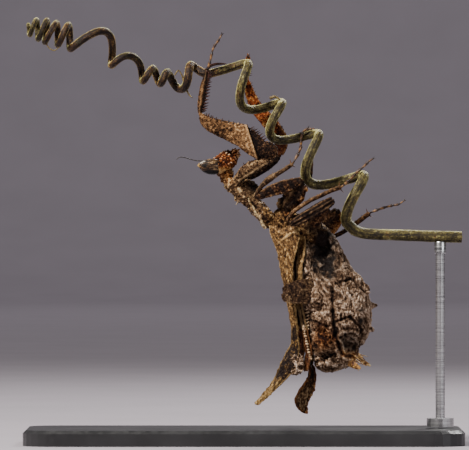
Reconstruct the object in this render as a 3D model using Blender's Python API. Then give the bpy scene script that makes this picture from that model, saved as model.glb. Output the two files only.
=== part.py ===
"""A female leaf mantis hanging belly up from a corkscrew tendril, on a plain display stand.

Lengths in this file are millimetres until a mesh is made, and metres in the scene. The mantis's head
points to -X and its right side to -Y, +Z is up, and the origin lies on the floor under the middle of
the stand. A station is (x, y, z, half width in the XZ plane, half depth).
"""

import math
import random

import bmesh
import bpy
from mathutils import Vector

MM = 0.001
GAP = 0.3
DEPTH = Vector((0.0, 1.0, 0.0))
SOLVER = "EXACT"

BASE_LENGTH = 83.8
BASE_WIDTH = 34.0
BASE_THICKNESS = 3.0
BASE_CORNER = 6.0
BASE_EDGE = 0.6
ROD_X = 37.5
ROD_RADIUS = 0.9
ROD_SIDES = 20
ROD_FOOT_RADIUS = 2.6
ROD_FOOT_HEIGHT = 1.6

TENDRIL_SIDES = 8
TENDRIL_STEPS = 6
STEM_END_X = 41.6
# The stem's route from its cut end to the first bend: x, y, z, radius.
STEM = [
    (STEM_END_X, 0.0, 39.5, 1.10),
    (37.0, 0.0, 39.6, 1.10),
    (32.5, 0.0, 39.75, 1.08),
    (28.5, 0.0, 39.9, 1.06),
    (25.0, -0.1, 40.0, 1.05),
    (22.8, -0.4, 40.2, 1.05),
    (21.2, -0.9, 40.7, 1.05),
]
# One row a turn: top x, z; bottom x, z; depth of the strand down and of the strand up; radius;
# roundness of the top and of the bottom.
TURNS = [
    (None, None, 19.5, 42.3, None, 2.2, 1.05, None, 0.80),
    (22.9, 51.2, 12.3, 50.1, 2.4, 2.6, 0.96, 0.22, 0.80),
    (14.3, 59.2, 5.4, 58.5, 2.6, 2.6, 0.86, 0.22, 0.80),
    (7.25, 65.15, -0.3, 64.5, 2.6, 2.6, 0.85, 0.22, 0.80),
    (0.8, 72.65, -6.8, 70.7, 1.4, -1.0, 0.82, 0.22, 0.45),
    (-10.2, 72.3, -11.8, 67.8, -1.8, -1.7, 0.80, 0.30, 1.00),
    (-14.6, 71.0, -16.0, 68.8, -1.7, -1.7, 0.74, 0.30, 0.45),
    (-17.4, 71.7, -19.3, 69.3, -1.7, -2.0, 0.68, 0.35, 0.25),
    (-21.15, 73.9, -25.3, 72.3, -2.0, -2.2, 0.70, 1.00, 0.15),
    (-26.4, 78.7, -33.1, 75.5, -2.2, -2.3, 0.74, 0.80, 0.15),
    (-33.5, 80.0, -35.5, 76.2, -2.3, -2.3, 0.64, 0.30, 0.30),
    (-35.8, 80.4, -38.0, 76.7, -2.2, -2.2, 0.58, 0.30, 0.30),
    (-37.6, 80.9, -39.3, 77.3, -2.1, -2.0, 0.54, 0.30, 0.30),
    (-39.6, 81.0, -40.9, 78.1, -1.8, -1.5, 0.48, 0.30, 0.30),
    (-41.2, 80.1, None, None, None, None, 0.38, 0.30, None),
]
PERCH_LENGTHS = {"perch_stem": 3, "perch_middle": 7, "perch_bridge": 17, "perch_coil": None}

HEAD_SIDES = 14
EYE_SIDES = 12
PROTHORAX_SIDES = 12
THORAX_SIDES = 14
ABDOMEN_SIDES = 20
PLATES = 8
# How far the abdomen is drawn in between its plates, and how its flanks are folded, as parts of its width.
PLATE_GROOVE = 0.035
FLANK_FOLD = 0.03
FLANK_FOLDS = 5.0
FOLD_SLANT = 9.0
HEAD = [
    (-6.75, 0.0, 52.7, 0.75, 0.75),
    (-5.5, 0.0, 53.1, 1.50, 1.30),
    (-4.0, 0.0, 53.6, 1.85, 1.60),
    (-2.8, 0.0, 54.35, 1.70, 1.35),
    (-1.9, 0.0, 55.15, 1.20, 1.00),
    (-1.15, 0.0, 56.0, 0.50, 0.55),
]
EYE = [
    (-5.0, 1.50, 52.9, 1.20, 0.80),
    (-5.7, 1.75, 52.9, 1.50, 0.95),
    (-6.5, 1.90, 52.9, 1.42, 1.00),
    (-7.4, 2.00, 53.05, 1.00, 0.85),
    (-8.1, 2.10, 53.2, 0.60, 0.55),
    (-8.7, 2.20, 53.25, 0.15, 0.15),
]
ANTENNA = [
    (-6.3, 0.32, 53.6),
    (-7.2, 0.34, 53.95),
    (-8.0, 0.45, 54.05),
    (-9.15, 0.70, 54.1),
    (-10.35, 0.95, 54.4),
    (-11.2, 1.15, 54.65),
    (-11.9, 1.30, 54.75),
    (-12.45, 1.40, 54.7),
    (-12.85, 1.50, 54.3),
]
ANTENNA_RADIUS = 0.25

PROTHORAX = [
    (-3.9, 0.0, 51.6, 0.80, 0.90),
    (-2.8, 0.0, 50.0, 1.10, 1.20),
    (-1.3, 0.0, 48.6, 1.35, 1.75),
    (0.3, 0.0, 47.3, 1.60, 2.00),
    (1.9, 0.0, 45.9, 1.50, 1.75),
    (3.5, 0.0, 44.2, 1.55, 1.70),
    (4.8, 0.0, 42.8, 1.50, 1.90),
]
THORAX = [
    (5.3, 0.0, 42.5, 1.60, 2.00),
    (7.8, 0.0, 42.4, 2.10, 2.50),
    (10.4, 0.0, 41.7, 2.30, 2.75),
    (12.9, 0.0, 40.8, 2.30, 2.80),
    (15.0, 0.0, 39.3, 2.10, 2.60),
]
ABDOMEN = [
    (14.5, 0.0, 38.8, 2.50, 2.40),
    (14.9, 0.0, 37.4, 3.30, 2.90),
    (15.2, 0.0, 35.8, 4.00, 3.50),
    (15.5, 0.0, 34.1, 4.55, 4.00),
    (16.1, 0.0, 31.4, 5.20, 4.40),
    (17.1, 0.0, 29.0, 6.20, 4.70),
    (17.7, 0.0, 26.5, 6.40, 4.80),
    (18.0, 0.0, 24.0, 6.40, 4.70),
    (17.9, 0.0, 21.8, 6.00, 4.40),
    (17.4, 0.0, 19.6, 5.10, 3.90),
    (17.1, 0.0, 17.3, 4.50, 3.20),
    (16.3, 0.0, 15.4, 2.80, 2.30),
    (15.8, 0.0, 14.1, 1.20, 1.10),
]
# Flat lobes on the abdomen's flanks: one over the right wing, one step and two spikes on the other side.
ABDOMEN_LOBES = [
    [
        (14.2, -3.0, 28.8, 1.90, 0.60),
        (11.6, -4.2, 28.9, 1.90, 0.40),
        (9.2, -4.6, 28.9, 1.85, 0.32),
        (7.6, -4.6, 29.3, 0.80, 0.26),
    ],
    [
        (20.0, -0.5, 29.0, 2.20, 1.20),
        (22.4, -0.6, 29.4, 1.30, 0.60),
        (23.5, -0.6, 29.9, 0.40, 0.26),
    ],
    [
        (21.8, 0.3, 26.4, 1.80, 1.00),
        (24.2, 0.5, 26.4, 0.80, 0.45),
        (25.5, 0.6, 26.4, 0.20, 0.20),
    ],
    [
        (21.4, -0.4, 22.0, 1.80, 1.00),
        (23.8, -0.6, 21.9, 0.80, 0.45),
        (24.9, -0.6, 21.9, 0.20, 0.20),
    ],
]
CERCUS_RIGHT = [
    (19.6, 1.0, 16.9, 0.70, 0.50),
    (20.4, 1.2, 15.6, 0.80, 0.55),
    (21.3, 1.3, 14.9, 0.60, 0.45),
    (22.2, 1.4, 14.4, 0.22, 0.22),
]
CERCUS_LEFT = [
    (21.2, 1.0, 17.3, 0.60, 0.45),
    (22.3, 1.2, 16.2, 0.55, 0.42),
    (23.2, 1.4, 15.4, 0.40, 0.35),
    (24.1, 1.6, 14.9, 0.14, 0.14),
]

# One row across the wing: left edge x, y, z; right edge x, y, z. Y is depth away from the middle plane.
FOREWING_RIGHT = [
    (5.4, 1.6, 43.6, 7.7, 2.9, 45.0),
    (4.9, 1.2, 41.8, 9.4, 3.3, 42.8),
    (5.2, 1.2, 40.0, 10.5, 3.5, 40.5),
    (6.1, 1.2, 37.8, 10.3, 3.6, 37.7),
    (6.8, 1.2, 35.0, 9.6, 3.5, 35.1),
    (7.4, 1.3, 32.3, 9.3, 3.3, 32.6),
    (8.0, 1.4, 29.6, 9.6, 3.2, 29.6),
    (8.5, 1.4, 26.7, 9.9, 3.1, 26.7),
    (8.9, 1.4, 24.4, 10.1, 3.0, 24.3),
    (9.3, 1.3, 21.9, 10.4, 2.8, 21.5),
    (9.0, 1.2, 18.8, 10.6, 2.5, 18.0),
    (7.4, 1.2, 16.0, 10.1, 2.3, 15.1),
    (6.6, 1.3, 14.0, 9.2, 2.2, 13.6),
    (5.6, 1.4, 12.1, 7.5, 2.1, 11.7),
    (4.1, 1.5, 10.2, 5.7, 1.9, 10.0),
    (2.7, 1.5, 8.6, 3.9, 1.7, 8.4),
    (2.0, 1.5, 7.8, 2.7, 1.6, 7.4),
]

FOREWING_LEFT = [
    (5.7, 1.6, 43.3, 7.9, 2.9, 44.7),
    (5.3, 1.3, 41.3, 10.0, 3.3, 42.0),
    (6.2, 1.4, 38.6, 11.1, 3.9, 39.5),
    (7.1, 1.5, 35.9, 11.6, 4.6, 36.6),
    (8.2, 1.6, 32.3, 12.2, 5.2, 33.0),
    (9.3, 1.7, 28.7, 13.0, 5.4, 29.4),
    (10.3, 1.8, 25.1, 13.4, 5.4, 25.5),
    (11.0, 1.9, 21.5, 13.3, 5.0, 21.9),
    (11.6, 1.8, 18.3, 13.2, 3.9, 18.3),
    (12.1, 1.6, 15.4, 13.2, 2.6, 15.4),
    (12.4, 1.4, 14.3, 13.4, 2.2, 14.1),
    (12.0, 1.3, 12.5, 13.7, 2.2, 12.7),
    (10.6, 1.2, 10.4, 13.5, 2.2, 10.3),
    (9.7, 1.2, 8.6, 12.8, 2.2, 8.8),
    (10.0, 1.3, 7.0, 12.2, 2.1, 7.1),
    (10.9, 1.4, 6.1, 12.1, 1.9, 6.1),
    (11.6, 1.5, 5.7, 12.0, 1.7, 5.7),
]
HINDWING_RIGHT = [
    (9.8, 1.8, 40.4, 11.7, 2.5, 40.4),
    (10.6, 1.9, 37.3, 11.8, 3.0, 37.3),
    (10.2, 2.0, 34.1, 11.1, 2.8, 33.8),
    (10.1, 2.0, 30.6, 11.0, 2.6, 30.3),
    (10.4, 2.0, 26.6, 11.2, 2.6, 26.6),
    (11.0, 1.9, 23.4, 11.9, 2.6, 23.4),
    (11.4, 1.7, 20.5, 12.5, 2.4, 20.4),
    (11.8, 1.4, 17.5, 13.0, 2.1, 17.7),
    (11.7, 1.2, 15.4, 12.6, 1.8, 15.6),
    (11.6, 1.1, 14.0, 12.0, 1.5, 14.0),
]
HINDWING_LEFT = [
    (9.3, 0.3, 38.6, 10.6, 0.5, 38.6),
    (9.4, 0.3, 36.4, 10.7, 0.6, 36.4),
    (9.4, 0.4, 34.1, 10.8, 0.8, 33.8),
    (9.5, 0.4, 30.6, 11.0, 0.9, 30.3),
    (9.6, 0.4, 26.6, 11.2, 1.0, 26.6),
    (9.7, 0.4, 23.4, 11.6, 1.0, 23.4),
    (9.7, 0.4, 20.5, 11.8, 0.9, 20.4),
    (9.4, 0.3, 17.5, 11.6, 0.6, 17.5),
    (9.5, 0.2, 15.4, 11.3, 0.4, 15.4),
    (10.0, 0.2, 13.4, 10.9, 0.3, 13.4),
]
HINDWING = {-1.0: HINDWING_RIGHT, 1.0: HINDWING_LEFT}
WING_THICKNESS = 0.5
VEIN_HEIGHT = 0.16
# Where the midrib lies across a wing, from 0 to 1, and how many side veins there are along it.
MIDRIB_PLACE = 0.55
SIDE_VEINS = 9.0

# The legs, from the body outwards. Y is depth away from the middle plane, as on the left side.
FORE_COXA_RIGHT = [
    (-1.6, 0.9, 49.5, 0.70, 0.60),
    (-1.3, 1.5, 50.6, 0.75, 0.60),
    (0.1, 2.2, 51.9, 1.15, 0.75),
    (1.4, 2.7, 52.75, 1.25, 0.80),
    (2.8, 3.1, 53.45, 1.00, 0.75),
    (4.0, 3.3, 54.0, 0.80, 0.65),
]
FORE_FEMUR_RIGHT = [
    (6.6, 3.4, 55.7, 1.20, 0.60),
    (5.0, 3.5, 56.1, 2.00, 0.90),
    (3.2, 3.5, 56.4, 2.10, 0.95),
    (1.4, 3.4, 57.6, 2.20, 0.85),
    (0.1, 3.3, 58.6, 2.15, 0.80),
    (-1.5, 3.2, 59.2, 2.00, 0.75),
    (-3.2, 3.1, 59.8, 1.78, 0.70),
    (-6.2, 3.0, 60.9, 1.40, 0.60),
    (-7.5, 2.95, 61.9, 1.10, 0.55),
    (-8.2, 2.95, 62.6, 0.60, 0.40),
]
FORE_TIBIA_RIGHT = [
    (-8.35, 2.75, 63.2, 0.45, 0.40),
    (-8.2, 2.60, 64.5, 0.70, 0.42),
    (-7.9, 2.30, 66.5, 0.78, 0.45),
    (-7.6, 1.95, 68.3, 0.74, 0.42),
    (-7.3, 1.60, 69.6, 0.60, 0.36),
    (-7.15, 1.35, 70.6, 0.45, 0.32),
    (-7.1, 1.30, 71.6, 0.40, 0.30),
]
# The claws: x, y, z, radius.
FORE_CLAW_RIGHT = [
    (-7.1, 1.35, 71.0, 0.33),
    (-6.75, 1.10, 71.9, 0.30),
    (-5.9, 0.45, 72.4, 0.27),
    (-4.7, 0.05, 72.6, 0.23),
    (-3.3, 0.00, 72.55, 0.08),
]
FORE_TARSUS_RIGHT = [
    (-6.9, 1.90, 71.6, 0.26, 0.26),
    (-6.4, 1.90, 73.3, 0.28, 0.26),
    (-5.85, 1.75, 75.5, 0.24, 0.24),
    (-4.95, 1.55, 76.9, 0.28, 0.26),
    (-4.2, 1.40, 78.2, 0.14, 0.14),
]
FORE_COXA_LEFT = [
    (-1.8, 0.9, 49.4, 0.70, 0.60),
    (-1.1, 1.5, 50.5, 0.75, 0.60),
    (1.4, 2.5, 51.6, 1.10, 0.75),
    (3.4, 3.3, 52.7, 1.10, 0.75),
    (5.4, 4.1, 53.9, 0.90, 0.70),
    (7.15, 4.7, 55.1, 0.70, 0.60),
]
FORE_FEMUR_LEFT = [
    (7.7, 4.8, 55.7, 0.90, 0.55),
    (8.0, 5.0, 57.1, 1.30, 0.70),
    (6.95, 5.1, 58.9, 1.50, 0.80),
    (5.15, 5.1, 61.2, 1.45, 0.75),
    (3.4, 5.0, 63.1, 1.30, 0.70),
    (2.1, 4.9, 64.9, 1.15, 0.65),
    (1.15, 4.7, 67.0, 0.95, 0.60),
    (0.65, 4.5, 68.7, 0.75, 0.50),
    (0.5, 4.4, 69.5, 0.50, 0.40),
]
FORE_TIBIA_LEFT = [
    (0.5, 4.2, 70.0, 0.40, 0.38),
    (0.6, 3.7, 71.0, 0.58, 0.40),
    (0.7, 3.0, 72.2, 0.56, 0.40),
    (0.75, 2.3, 73.2, 0.46, 0.35),
    (0.8, 1.8, 73.9, 0.36, 0.30),
]
FORE_CLAW_LEFT = [
    (0.72, 2.25, 73.2, 0.22),
    (0.78, 1.75, 73.9, 0.28),
    (0.85, 1.2, 74.3, 0.27),
    (0.8, 0.5, 74.4, 0.21),
    (0.7, -0.1, 74.15, 0.08),
]
FORE_TARSUS_LEFT = [
    (0.9, 2.7, 73.7, 0.26, 0.26),
    (0.0, 2.9, 73.2, 0.27, 0.26),
    (-1.4, 2.9, 72.3, 0.25, 0.25),
    (-3.0, 2.6, 71.5, 0.26, 0.26),
    (-4.4, 2.2, 71.1, 0.14, 0.14),
]
MID_COXA_RIGHT = [
    (7.9, 1.7, 43.5, 1.10, 0.80),
    (8.3, 2.5, 45.1, 1.25, 0.85),
    (9.4, 2.8, 46.4, 1.50, 0.90),
    (10.5, 3.1, 48.1, 1.50, 0.85),
    (11.2, 3.4, 49.5, 1.10, 0.65),
]
MID_FEMUR_RIGHT = [
    (10.9, 3.9, 50.3, 0.60, 0.50),
    (9.2, 4.1, 49.6, 1.05, 0.70),
    (7.3, 4.3, 49.0, 1.25, 0.75),
    (5.15, 4.4, 48.3, 1.05, 0.65),
    (3.3, 4.5, 47.5, 0.75, 0.55),
    (2.3, 4.5, 47.0, 0.48, 0.42),
]
MID_TIBIA_RIGHT = [
    (2.1, 4.6, 47.2, 0.42, 0.36),
    (2.55, 4.7, 48.1, 0.46, 0.36),
    (3.55, 4.7, 49.4, 0.52, 0.34),
    (4.9, 4.7, 50.6, 0.70, 0.32),
    (6.5, 4.6, 51.6, 0.50, 0.34),
    (8.1, 4.4, 52.6, 0.46, 0.38),
    (9.2, 4.2, 53.4, 0.45, 0.36),
]
MID_TARSUS_RIGHT = [
    (9.5, 4.1, 53.9, 0.26, 0.26),
    (10.2, 3.6, 55.1, 0.32, 0.28),
    (10.75, 2.2, 56.3, 0.27, 0.26),
    (10.9, 0.3, 57.2, 0.27, 0.26),
    (10.95, -0.9, 58.3, 0.28, 0.26),
    (11.3, -1.1, 59.6, 0.27, 0.26),
    (12.3, -0.8, 60.4, 0.14, 0.14),
]
MID_COXA_LEFT = [
    (8.3, 1.6, 43.5, 1.00, 0.80),
    (8.0, 2.6, 44.6, 1.10, 0.80),
    (7.6, 3.6, 45.7, 1.20, 0.80),
    (7.5, 4.6, 46.7, 0.90, 0.70),
]
MID_FEMUR_LEFT = [
    (7.7, 5.2, 47.0, 0.60, 0.50),
    (8.8, 5.3, 47.6, 0.95, 0.65),
    (10.2, 5.1, 48.4, 0.95, 0.65),
    (11.4, 4.8, 49.1, 0.70, 0.50),
    (12.0, 4.6, 49.4, 0.50, 0.42),
]
MID_TIBIA_LEFT = [
    (12.3, 4.5, 49.8, 0.40, 0.36),
    (12.7, 4.4, 51.0, 0.46, 0.36),
    (12.85, 4.2, 53.2, 0.48, 0.36),
    (12.95, 3.9, 55.6, 0.44, 0.34),
    (13.4, 3.3, 57.6, 0.44, 0.34),
    (13.75, 3.1, 58.8, 0.40, 0.32),
]
MID_TARSUS_LEFT = [
    (13.6, 2.6, 60.0, 0.26, 0.26),
    (12.7, 3.0, 60.2, 0.26, 0.26),
    (11.2, 3.7, 59.5, 0.26, 0.26),
    (9.8, 3.9, 58.9, 0.14, 0.14),
]
HIND_COXA_RIGHT = [
    (13.0, 2.7, 41.9, 1.20, 0.80),
    (14.5, 3.3, 43.7, 1.20, 0.80),
    (15.7, 3.7, 45.2, 1.00, 0.65),
]
HIND_FEMUR_RIGHT = [
    (16.9, 4.8, 46.5, 0.90, 0.55),
    (15.4, 5.1, 45.6, 1.20, 0.70),
    (13.25, 5.3, 44.3, 1.25, 0.75),
    (11.1, 5.3, 43.1, 1.15, 0.70),
    (9.7, 5.2, 42.3, 0.90, 0.60),
    (8.9, 5.1, 41.8, 0.50, 0.42),
]
HIND_TIBIA_RIGHT = [
    (8.3, 5.1, 42.8, 0.42, 0.40),
    (9.3, 5.0, 44.2, 0.46, 0.38),
    (12.0, 4.8, 46.1, 0.46, 0.38),
    (14.2, 4.7, 47.2, 0.46, 0.38),
    (16.3, 4.6, 48.2, 0.46, 0.38),
    (18.4, 4.5, 49.0, 0.52, 0.40),
]
HIND_TARSUS_RIGHT = [
    (18.9, 4.4, 49.3, 0.26, 0.26),
    (19.6, 3.5, 49.9, 0.32, 0.28),
    (20.8, 2.1, 51.0, 0.27, 0.26),
    (21.6, 1.1, 51.9, 0.28, 0.26),
    (22.8, 0.9, 52.9, 0.27, 0.26),
    (23.8, 1.1, 53.9, 0.26, 0.25),
    (24.7, 1.3, 54.5, 0.14, 0.14),
]
HIND_COXA_LEFT = [
    (13.4, 2.7, 42.1, 1.20, 0.80),
    (15.2, 3.5, 42.9, 1.20, 0.80),
    (16.8, 4.0, 43.9, 0.95, 0.65),
]
HIND_FEMUR_LEFT = [
    (18.2, 4.9, 44.3, 1.20, 0.65),
    (17.4, 5.6, 43.1, 1.65, 0.75),
    (16.6, 6.8, 41.7, 1.65, 0.75),
    (16.0, 7.8, 40.4, 1.25, 0.65),
    (15.7, 8.5, 39.4, 0.65, 0.48),
]
HIND_TIBIA_LEFT = [
    (16.3, 8.8, 39.0, 0.42, 0.40),
    (17.4, 8.3, 39.6, 0.46, 0.38),
    (19.5, 7.0, 40.7, 0.48, 0.40),
    (21.9, 5.6, 42.4, 0.52, 0.42),
    (24.0, 4.3, 44.0, 0.52, 0.42),
]
HIND_TARSUS_LEFT = [
    (24.5, 4.0, 44.3, 0.26, 0.26),
    (25.7, 3.9, 44.75, 0.32, 0.28),
    (27.1, 3.8, 45.2, 0.27, 0.26),
    (28.5, 3.7, 45.55, 0.28, 0.26),
    (29.7, 3.6, 45.8, 0.24, 0.24),
    (30.7, 3.5, 46.5, 0.12, 0.12),
]


def spline(rows, steps):
    """Passes a smooth curve through rows of equal length, with so many steps between two of them."""
    curve = []
    for index in range(len(rows) - 1):
        before = rows[max(index - 1, 0)]
        start, end = rows[index], rows[index + 1]
        after = rows[min(index + 2, len(rows) - 1)]
        for step in range(steps):
            t = step / steps
            row = []
            for a, b, c, d in zip(before, start, end, after):
                row.append(
                    b + 0.5 * t * (c - a + t * (2 * a - 5 * b + 4 * c - d + t * (3 * (b - c) + d - a)))
                )
            curve.append(tuple(row))
    curve.append(tuple(rows[-1]))
    return curve


def mirrored(stations):
    """Turns the left side's stations into the right side's."""
    return [(row[0], -row[1], *row[2:]) for row in stations]


def grown(stations, by=GAP):
    """Makes stations thicker, and longer at both ends, for cutting a neighbour clear of them."""
    first, second = Vector(stations[0][:3]), Vector(stations[1][:3])
    last, previous = Vector(stations[-1][:3]), Vector(stations[-2][:3])
    start = first + (first - second).normalized() * by
    end = last + (last - previous).normalized() * by
    rows = [(*row[:3], row[3] + by, row[4] + by) for row in stations]
    rows[0] = (*start, *rows[0][3:])
    rows[-1] = (*end, *rows[-1][3:])
    return rows


def clearance(stations, sides):
    """Makes a grown copy of a body part, for cutting a neighbour clear of it."""
    return loft(grown(spline(stations, 2)), sides)


def bridge(bm, rings, cap_start=None, cap_end=None):
    """Joins rings of vertices into a closed skin with a fan at each end."""
    count = len(rings[0])
    for lower, upper in zip(rings, rings[1:]):
        for i in range(count):
            j = (i + 1) % count
            bm.faces.new((lower[i], lower[j], upper[j], upper[i]))
    for ring, point in ((rings[0], cap_start), (rings[-1], cap_end)):
        centre = bm.verts.new(point)
        for i in range(count):
            bm.faces.new((ring[i], ring[(i + 1) % count], centre))
    bmesh.ops.recalc_face_normals(bm, faces=bm.faces)


def loft(stations, sides=8, cap=0.5, shape=None):
    """Makes a closed body around stations. shape(t, angle) scales its radius."""
    bm = bmesh.new()
    points = [Vector(row[:3]) for row in stations]
    rings = []
    for index, row in enumerate(stations):
        along = points[min(index + 1, len(points) - 1)] - points[max(index - 1, 0)]
        along.normalize()
        depth = (DEPTH - along * along.dot(DEPTH)).normalized()
        across = along.cross(depth)
        ring = []
        for side in range(sides):
            angle = math.tau * side / sides
            scale = shape(index / (len(points) - 1), angle) if shape else 1.0
            offset = across * row[3] * math.cos(angle) + depth * row[4] * math.sin(angle)
            ring.append(bm.verts.new((points[index] + offset * scale) * MM))
        rings.append(ring)
    start = points[0] + (points[0] - points[1]).normalized() * cap * min(stations[0][3:])
    end = points[-1] + (points[-1] - points[-2]).normalized() * cap * min(stations[-1][3:])
    bridge(bm, rings, start * MM, end * MM)
    return bm


def spine(root, tip, radius, sides=4):
    """Makes one pointed spine."""
    bm = bmesh.new()
    root, tip = Vector(root), Vector(tip)
    along = (tip - root).normalized()
    side_way = along.orthogonal().normalized()
    other_way = along.cross(side_way)
    ring = []
    for side in range(sides):
        angle = math.tau * side / sides
        offset = (side_way * math.cos(angle) + other_way * math.sin(angle)) * radius
        ring.append(bm.verts.new((root + offset) * MM))
    point = bm.verts.new(tip * MM)
    for i in range(sides):
        bm.faces.new((ring[i], ring[(i + 1) % sides], point))
    bm.faces.new(ring)
    bmesh.ops.recalc_face_normals(bm, faces=bm.faces)
    return bm


def material(name, colour, roughness, metallic=0.0):
    """Returns the named material, made once."""
    found = bpy.data.materials.get(name)
    if found:
        return found
    made = bpy.data.materials.new(name)
    made.use_nodes = True
    shader = made.node_tree.nodes["Principled BSDF"]
    shader.inputs["Base Color"].default_value = (*colour, 1.0)
    shader.inputs["Roughness"].default_value = roughness
    shader.inputs["Metallic"].default_value = metallic
    return made


def bark():
    return material("dry_leaf_brown", (0.16, 0.10, 0.06), 0.75)


def orange():
    return material("inner_leg_orange", (0.36, 0.10, 0.03), 0.6)


def eye_grey():
    return material("eye_grey", (0.22, 0.18, 0.13), 0.25)


def tendril_green():
    return material("tendril_green", (0.25, 0.25, 0.09), 0.7)


def stand_black():
    return material("stand_black", (0.03, 0.03, 0.03), 0.4)


def rod_steel():
    return material("rod_steel", (0.55, 0.55, 0.55), 0.3, 1.0)


def helper_object(bm, collection):
    """Puts a bmesh in an object of its own in the collection."""
    mesh = bpy.data.meshes.new("helper")
    bm.to_mesh(mesh)
    bm.free()
    helper = bpy.data.objects.new("helper", mesh)
    helper.hide_render = True
    helper.display_type = "WIRE"
    collection.objects.link(helper)
    return helper


def largest_surface(mesh):
    """Keeps only the closed surface with the most volume."""
    bm = bmesh.new()
    bm.from_mesh(mesh)
    unseen = set(bm.faces)
    shells = []
    while unseen:
        shell = {unseen.pop()}
        edge_of = list(shell)
        while edge_of:
            face = edge_of.pop()
            for edge in face.edges:
                for other in edge.link_faces:
                    if other in unseen:
                        unseen.discard(other)
                        shell.add(other)
                        edge_of.append(other)
        shells.append(shell)

    def volume(shell):
        total = 0.0
        for face in shell:
            first = face.verts[0].co
            for a, b in zip(face.verts[1:], face.verts[2:]):
                total += first.dot(a.co.cross(b.co))
        return abs(total)

    shells.sort(key=volume)
    scraps = [face for shell in shells[:-1] for face in shell]
    if scraps:
        bmesh.ops.delete(bm, geom=scraps, context="FACES")
    bm.to_mesh(mesh)
    bm.free()


def solid(name, pieces, look, cutters=(), smooth=50.0):
    """Makes one named node: the union of its pieces, less its cutters."""
    joined = bpy.data.collections.new(name + "_pieces")
    cut = bpy.data.collections.new(name + "_cutters")
    bpy.context.scene.collection.children.link(joined)
    bpy.context.scene.collection.children.link(cut)
    mesh = bpy.data.meshes.new(name)
    pieces[0].to_mesh(mesh)
    pieces[0].free()
    body = bpy.data.objects.new(name, mesh)
    bpy.context.scene.collection.objects.link(body)
    for piece in pieces[1:]:
        helper_object(piece, joined)
    if len(pieces) > 1:
        union = body.modifiers.new("join", "BOOLEAN")
        union.operation = "UNION"
        union.solver = SOLVER
        union.operand_type = "COLLECTION"
        union.collection = joined
    for cutter in cutters:
        helper = helper_object(cutter, cut)
        difference = body.modifiers.new("clear", "BOOLEAN")
        difference.operation = "DIFFERENCE"
        difference.solver = SOLVER
        difference.object = helper
    if body.modifiers:
        graph = bpy.context.evaluated_depsgraph_get()
        result = bpy.data.meshes.new_from_object(body.evaluated_get(graph))
        body.modifiers.clear()
        body.data = result
        result.name = name
        largest_surface(result)
    for collection in (joined, cut):
        for helper in list(collection.objects):
            bpy.data.objects.remove(helper)
        bpy.data.collections.remove(collection)
    body.data.materials.clear()
    body.data.materials.append(look)
    body.data.shade_smooth()
    body.data.set_sharp_from_angle(angle=math.radians(smooth))
    return body


def tendril_path():
    """Works out the tendril's route as (x, y, z, radius), from the stem's cut end to the coil's tip."""
    turning = []
    for row in TURNS:
        if row[0] is not None:
            turning.append((row[0], row[1], row[4], row[6], row[7]))
        if row[2] is not None:
            turning.append((row[2], row[3], row[5], row[6], row[8]))
    path = spline(STEM, 2)
    bend_start = Vector((STEM[-3][0], STEM[-3][2]))
    for index in range(len(turning) - 1):
        x0, z0, _, radius0, round0 = turning[index]
        x1, z1, _, radius1, round1 = turning[index + 1]
        before = Vector(turning[index - 1][:2]) if index else bend_start
        after = Vector(turning[min(index + 2, len(turning) - 1)][:2])
        start, end = Vector((x0, z0)), Vector((x1, z1))
        leave = (end - before) * round0
        arrive = (after - start) * round1
        sign = 1.0 if index % 2 else -1.0
        for step in range(TENDRIL_STEPS):
            t = step / TENDRIL_STEPS
            spot = (
                start * (2 * t**3 - 3 * t**2 + 1)
                + leave * (t**3 - 2 * t**2 + t)
                + end * (3 * t**2 - 2 * t**3)
                + arrive * (t**3 - t**2)
            )
            depth = strand_depth(turning, index, t) * math.sin(math.pi * t) * sign
            radius = radius0 + (radius1 - radius0) * t
            path.append((spot.x, depth + first_depth(index, t), spot.y, radius))
    last = turning[-1]
    path.append((last[0], 0.0, last[1], last[3]))
    return path


def strand_depth(turning, index, t):
    """Eases a strand's depth into its neighbours', so that the route turns smoothly in depth too."""
    here = turning[index][2]
    if t < 0.5:
        other = turning[index - 1][2] if index else here
        return other + (here - other) * (t + 0.5)
    other = turning[index + 1][2] if index + 1 < len(turning) - 1 else here
    return here + (other - here) * (t - 0.5)


def first_depth(index, t):
    """Carries the stem's last depth over into the first strand."""
    return STEM[-1][1] * (1.0 - t) ** 2 if index == 0 else 0.0


def tube(path, sides, first=0, last=None):
    """Makes a closed round tube along (x, y, z, radius) rows, or the length of it between two of them.

    An end inside the path is cut square, half a gap short of its row.
    """
    bm = bmesh.new()
    end = len(path) - 1
    last = end if last is None else last
    points = [Vector(row[:3]) for row in path]
    across = (points[1] - points[0]).orthogonal().normalized()
    rings = []
    centres = []
    for index, point in enumerate(points[: last + 1]):
        along = points[min(index + 1, end)] - points[max(index - 1, 0)]
        along.normalize()
        across = (across - along * across.dot(along)).normalized()
        if index < first:
            continue
        other = along.cross(across)
        centre = point.copy()
        if index == first and first > 0:
            centre += along * GAP / 2
        if index == last and last < end:
            centre -= along * GAP / 2
        ring = []
        for side in range(sides):
            angle = math.tau * side / sides
            offset = (across * math.cos(angle) + other * math.sin(angle)) * path[index][3]
            ring.append(bm.verts.new((centre + offset) * MM))
        rings.append(ring)
        centres.append(centre)
    bridge(bm, rings, centres[0] * MM, centres[-1] * MM)
    return bm


def build_perch():
    """Makes the tendril in four lengths, cut across in the middle of a strand."""
    path = tendril_path()
    start = 0
    for name, strands in PERCH_LENGTHS.items():
        end = len(path) - 1
        if strands is not None:
            end = 2 * (len(STEM) - 1) + 1 + strands * TENDRIL_STEPS + TENDRIL_STEPS // 2
        solid(name, [tube(path, TENDRIL_SIDES, start, end)], tendril_green())
        start = end


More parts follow.
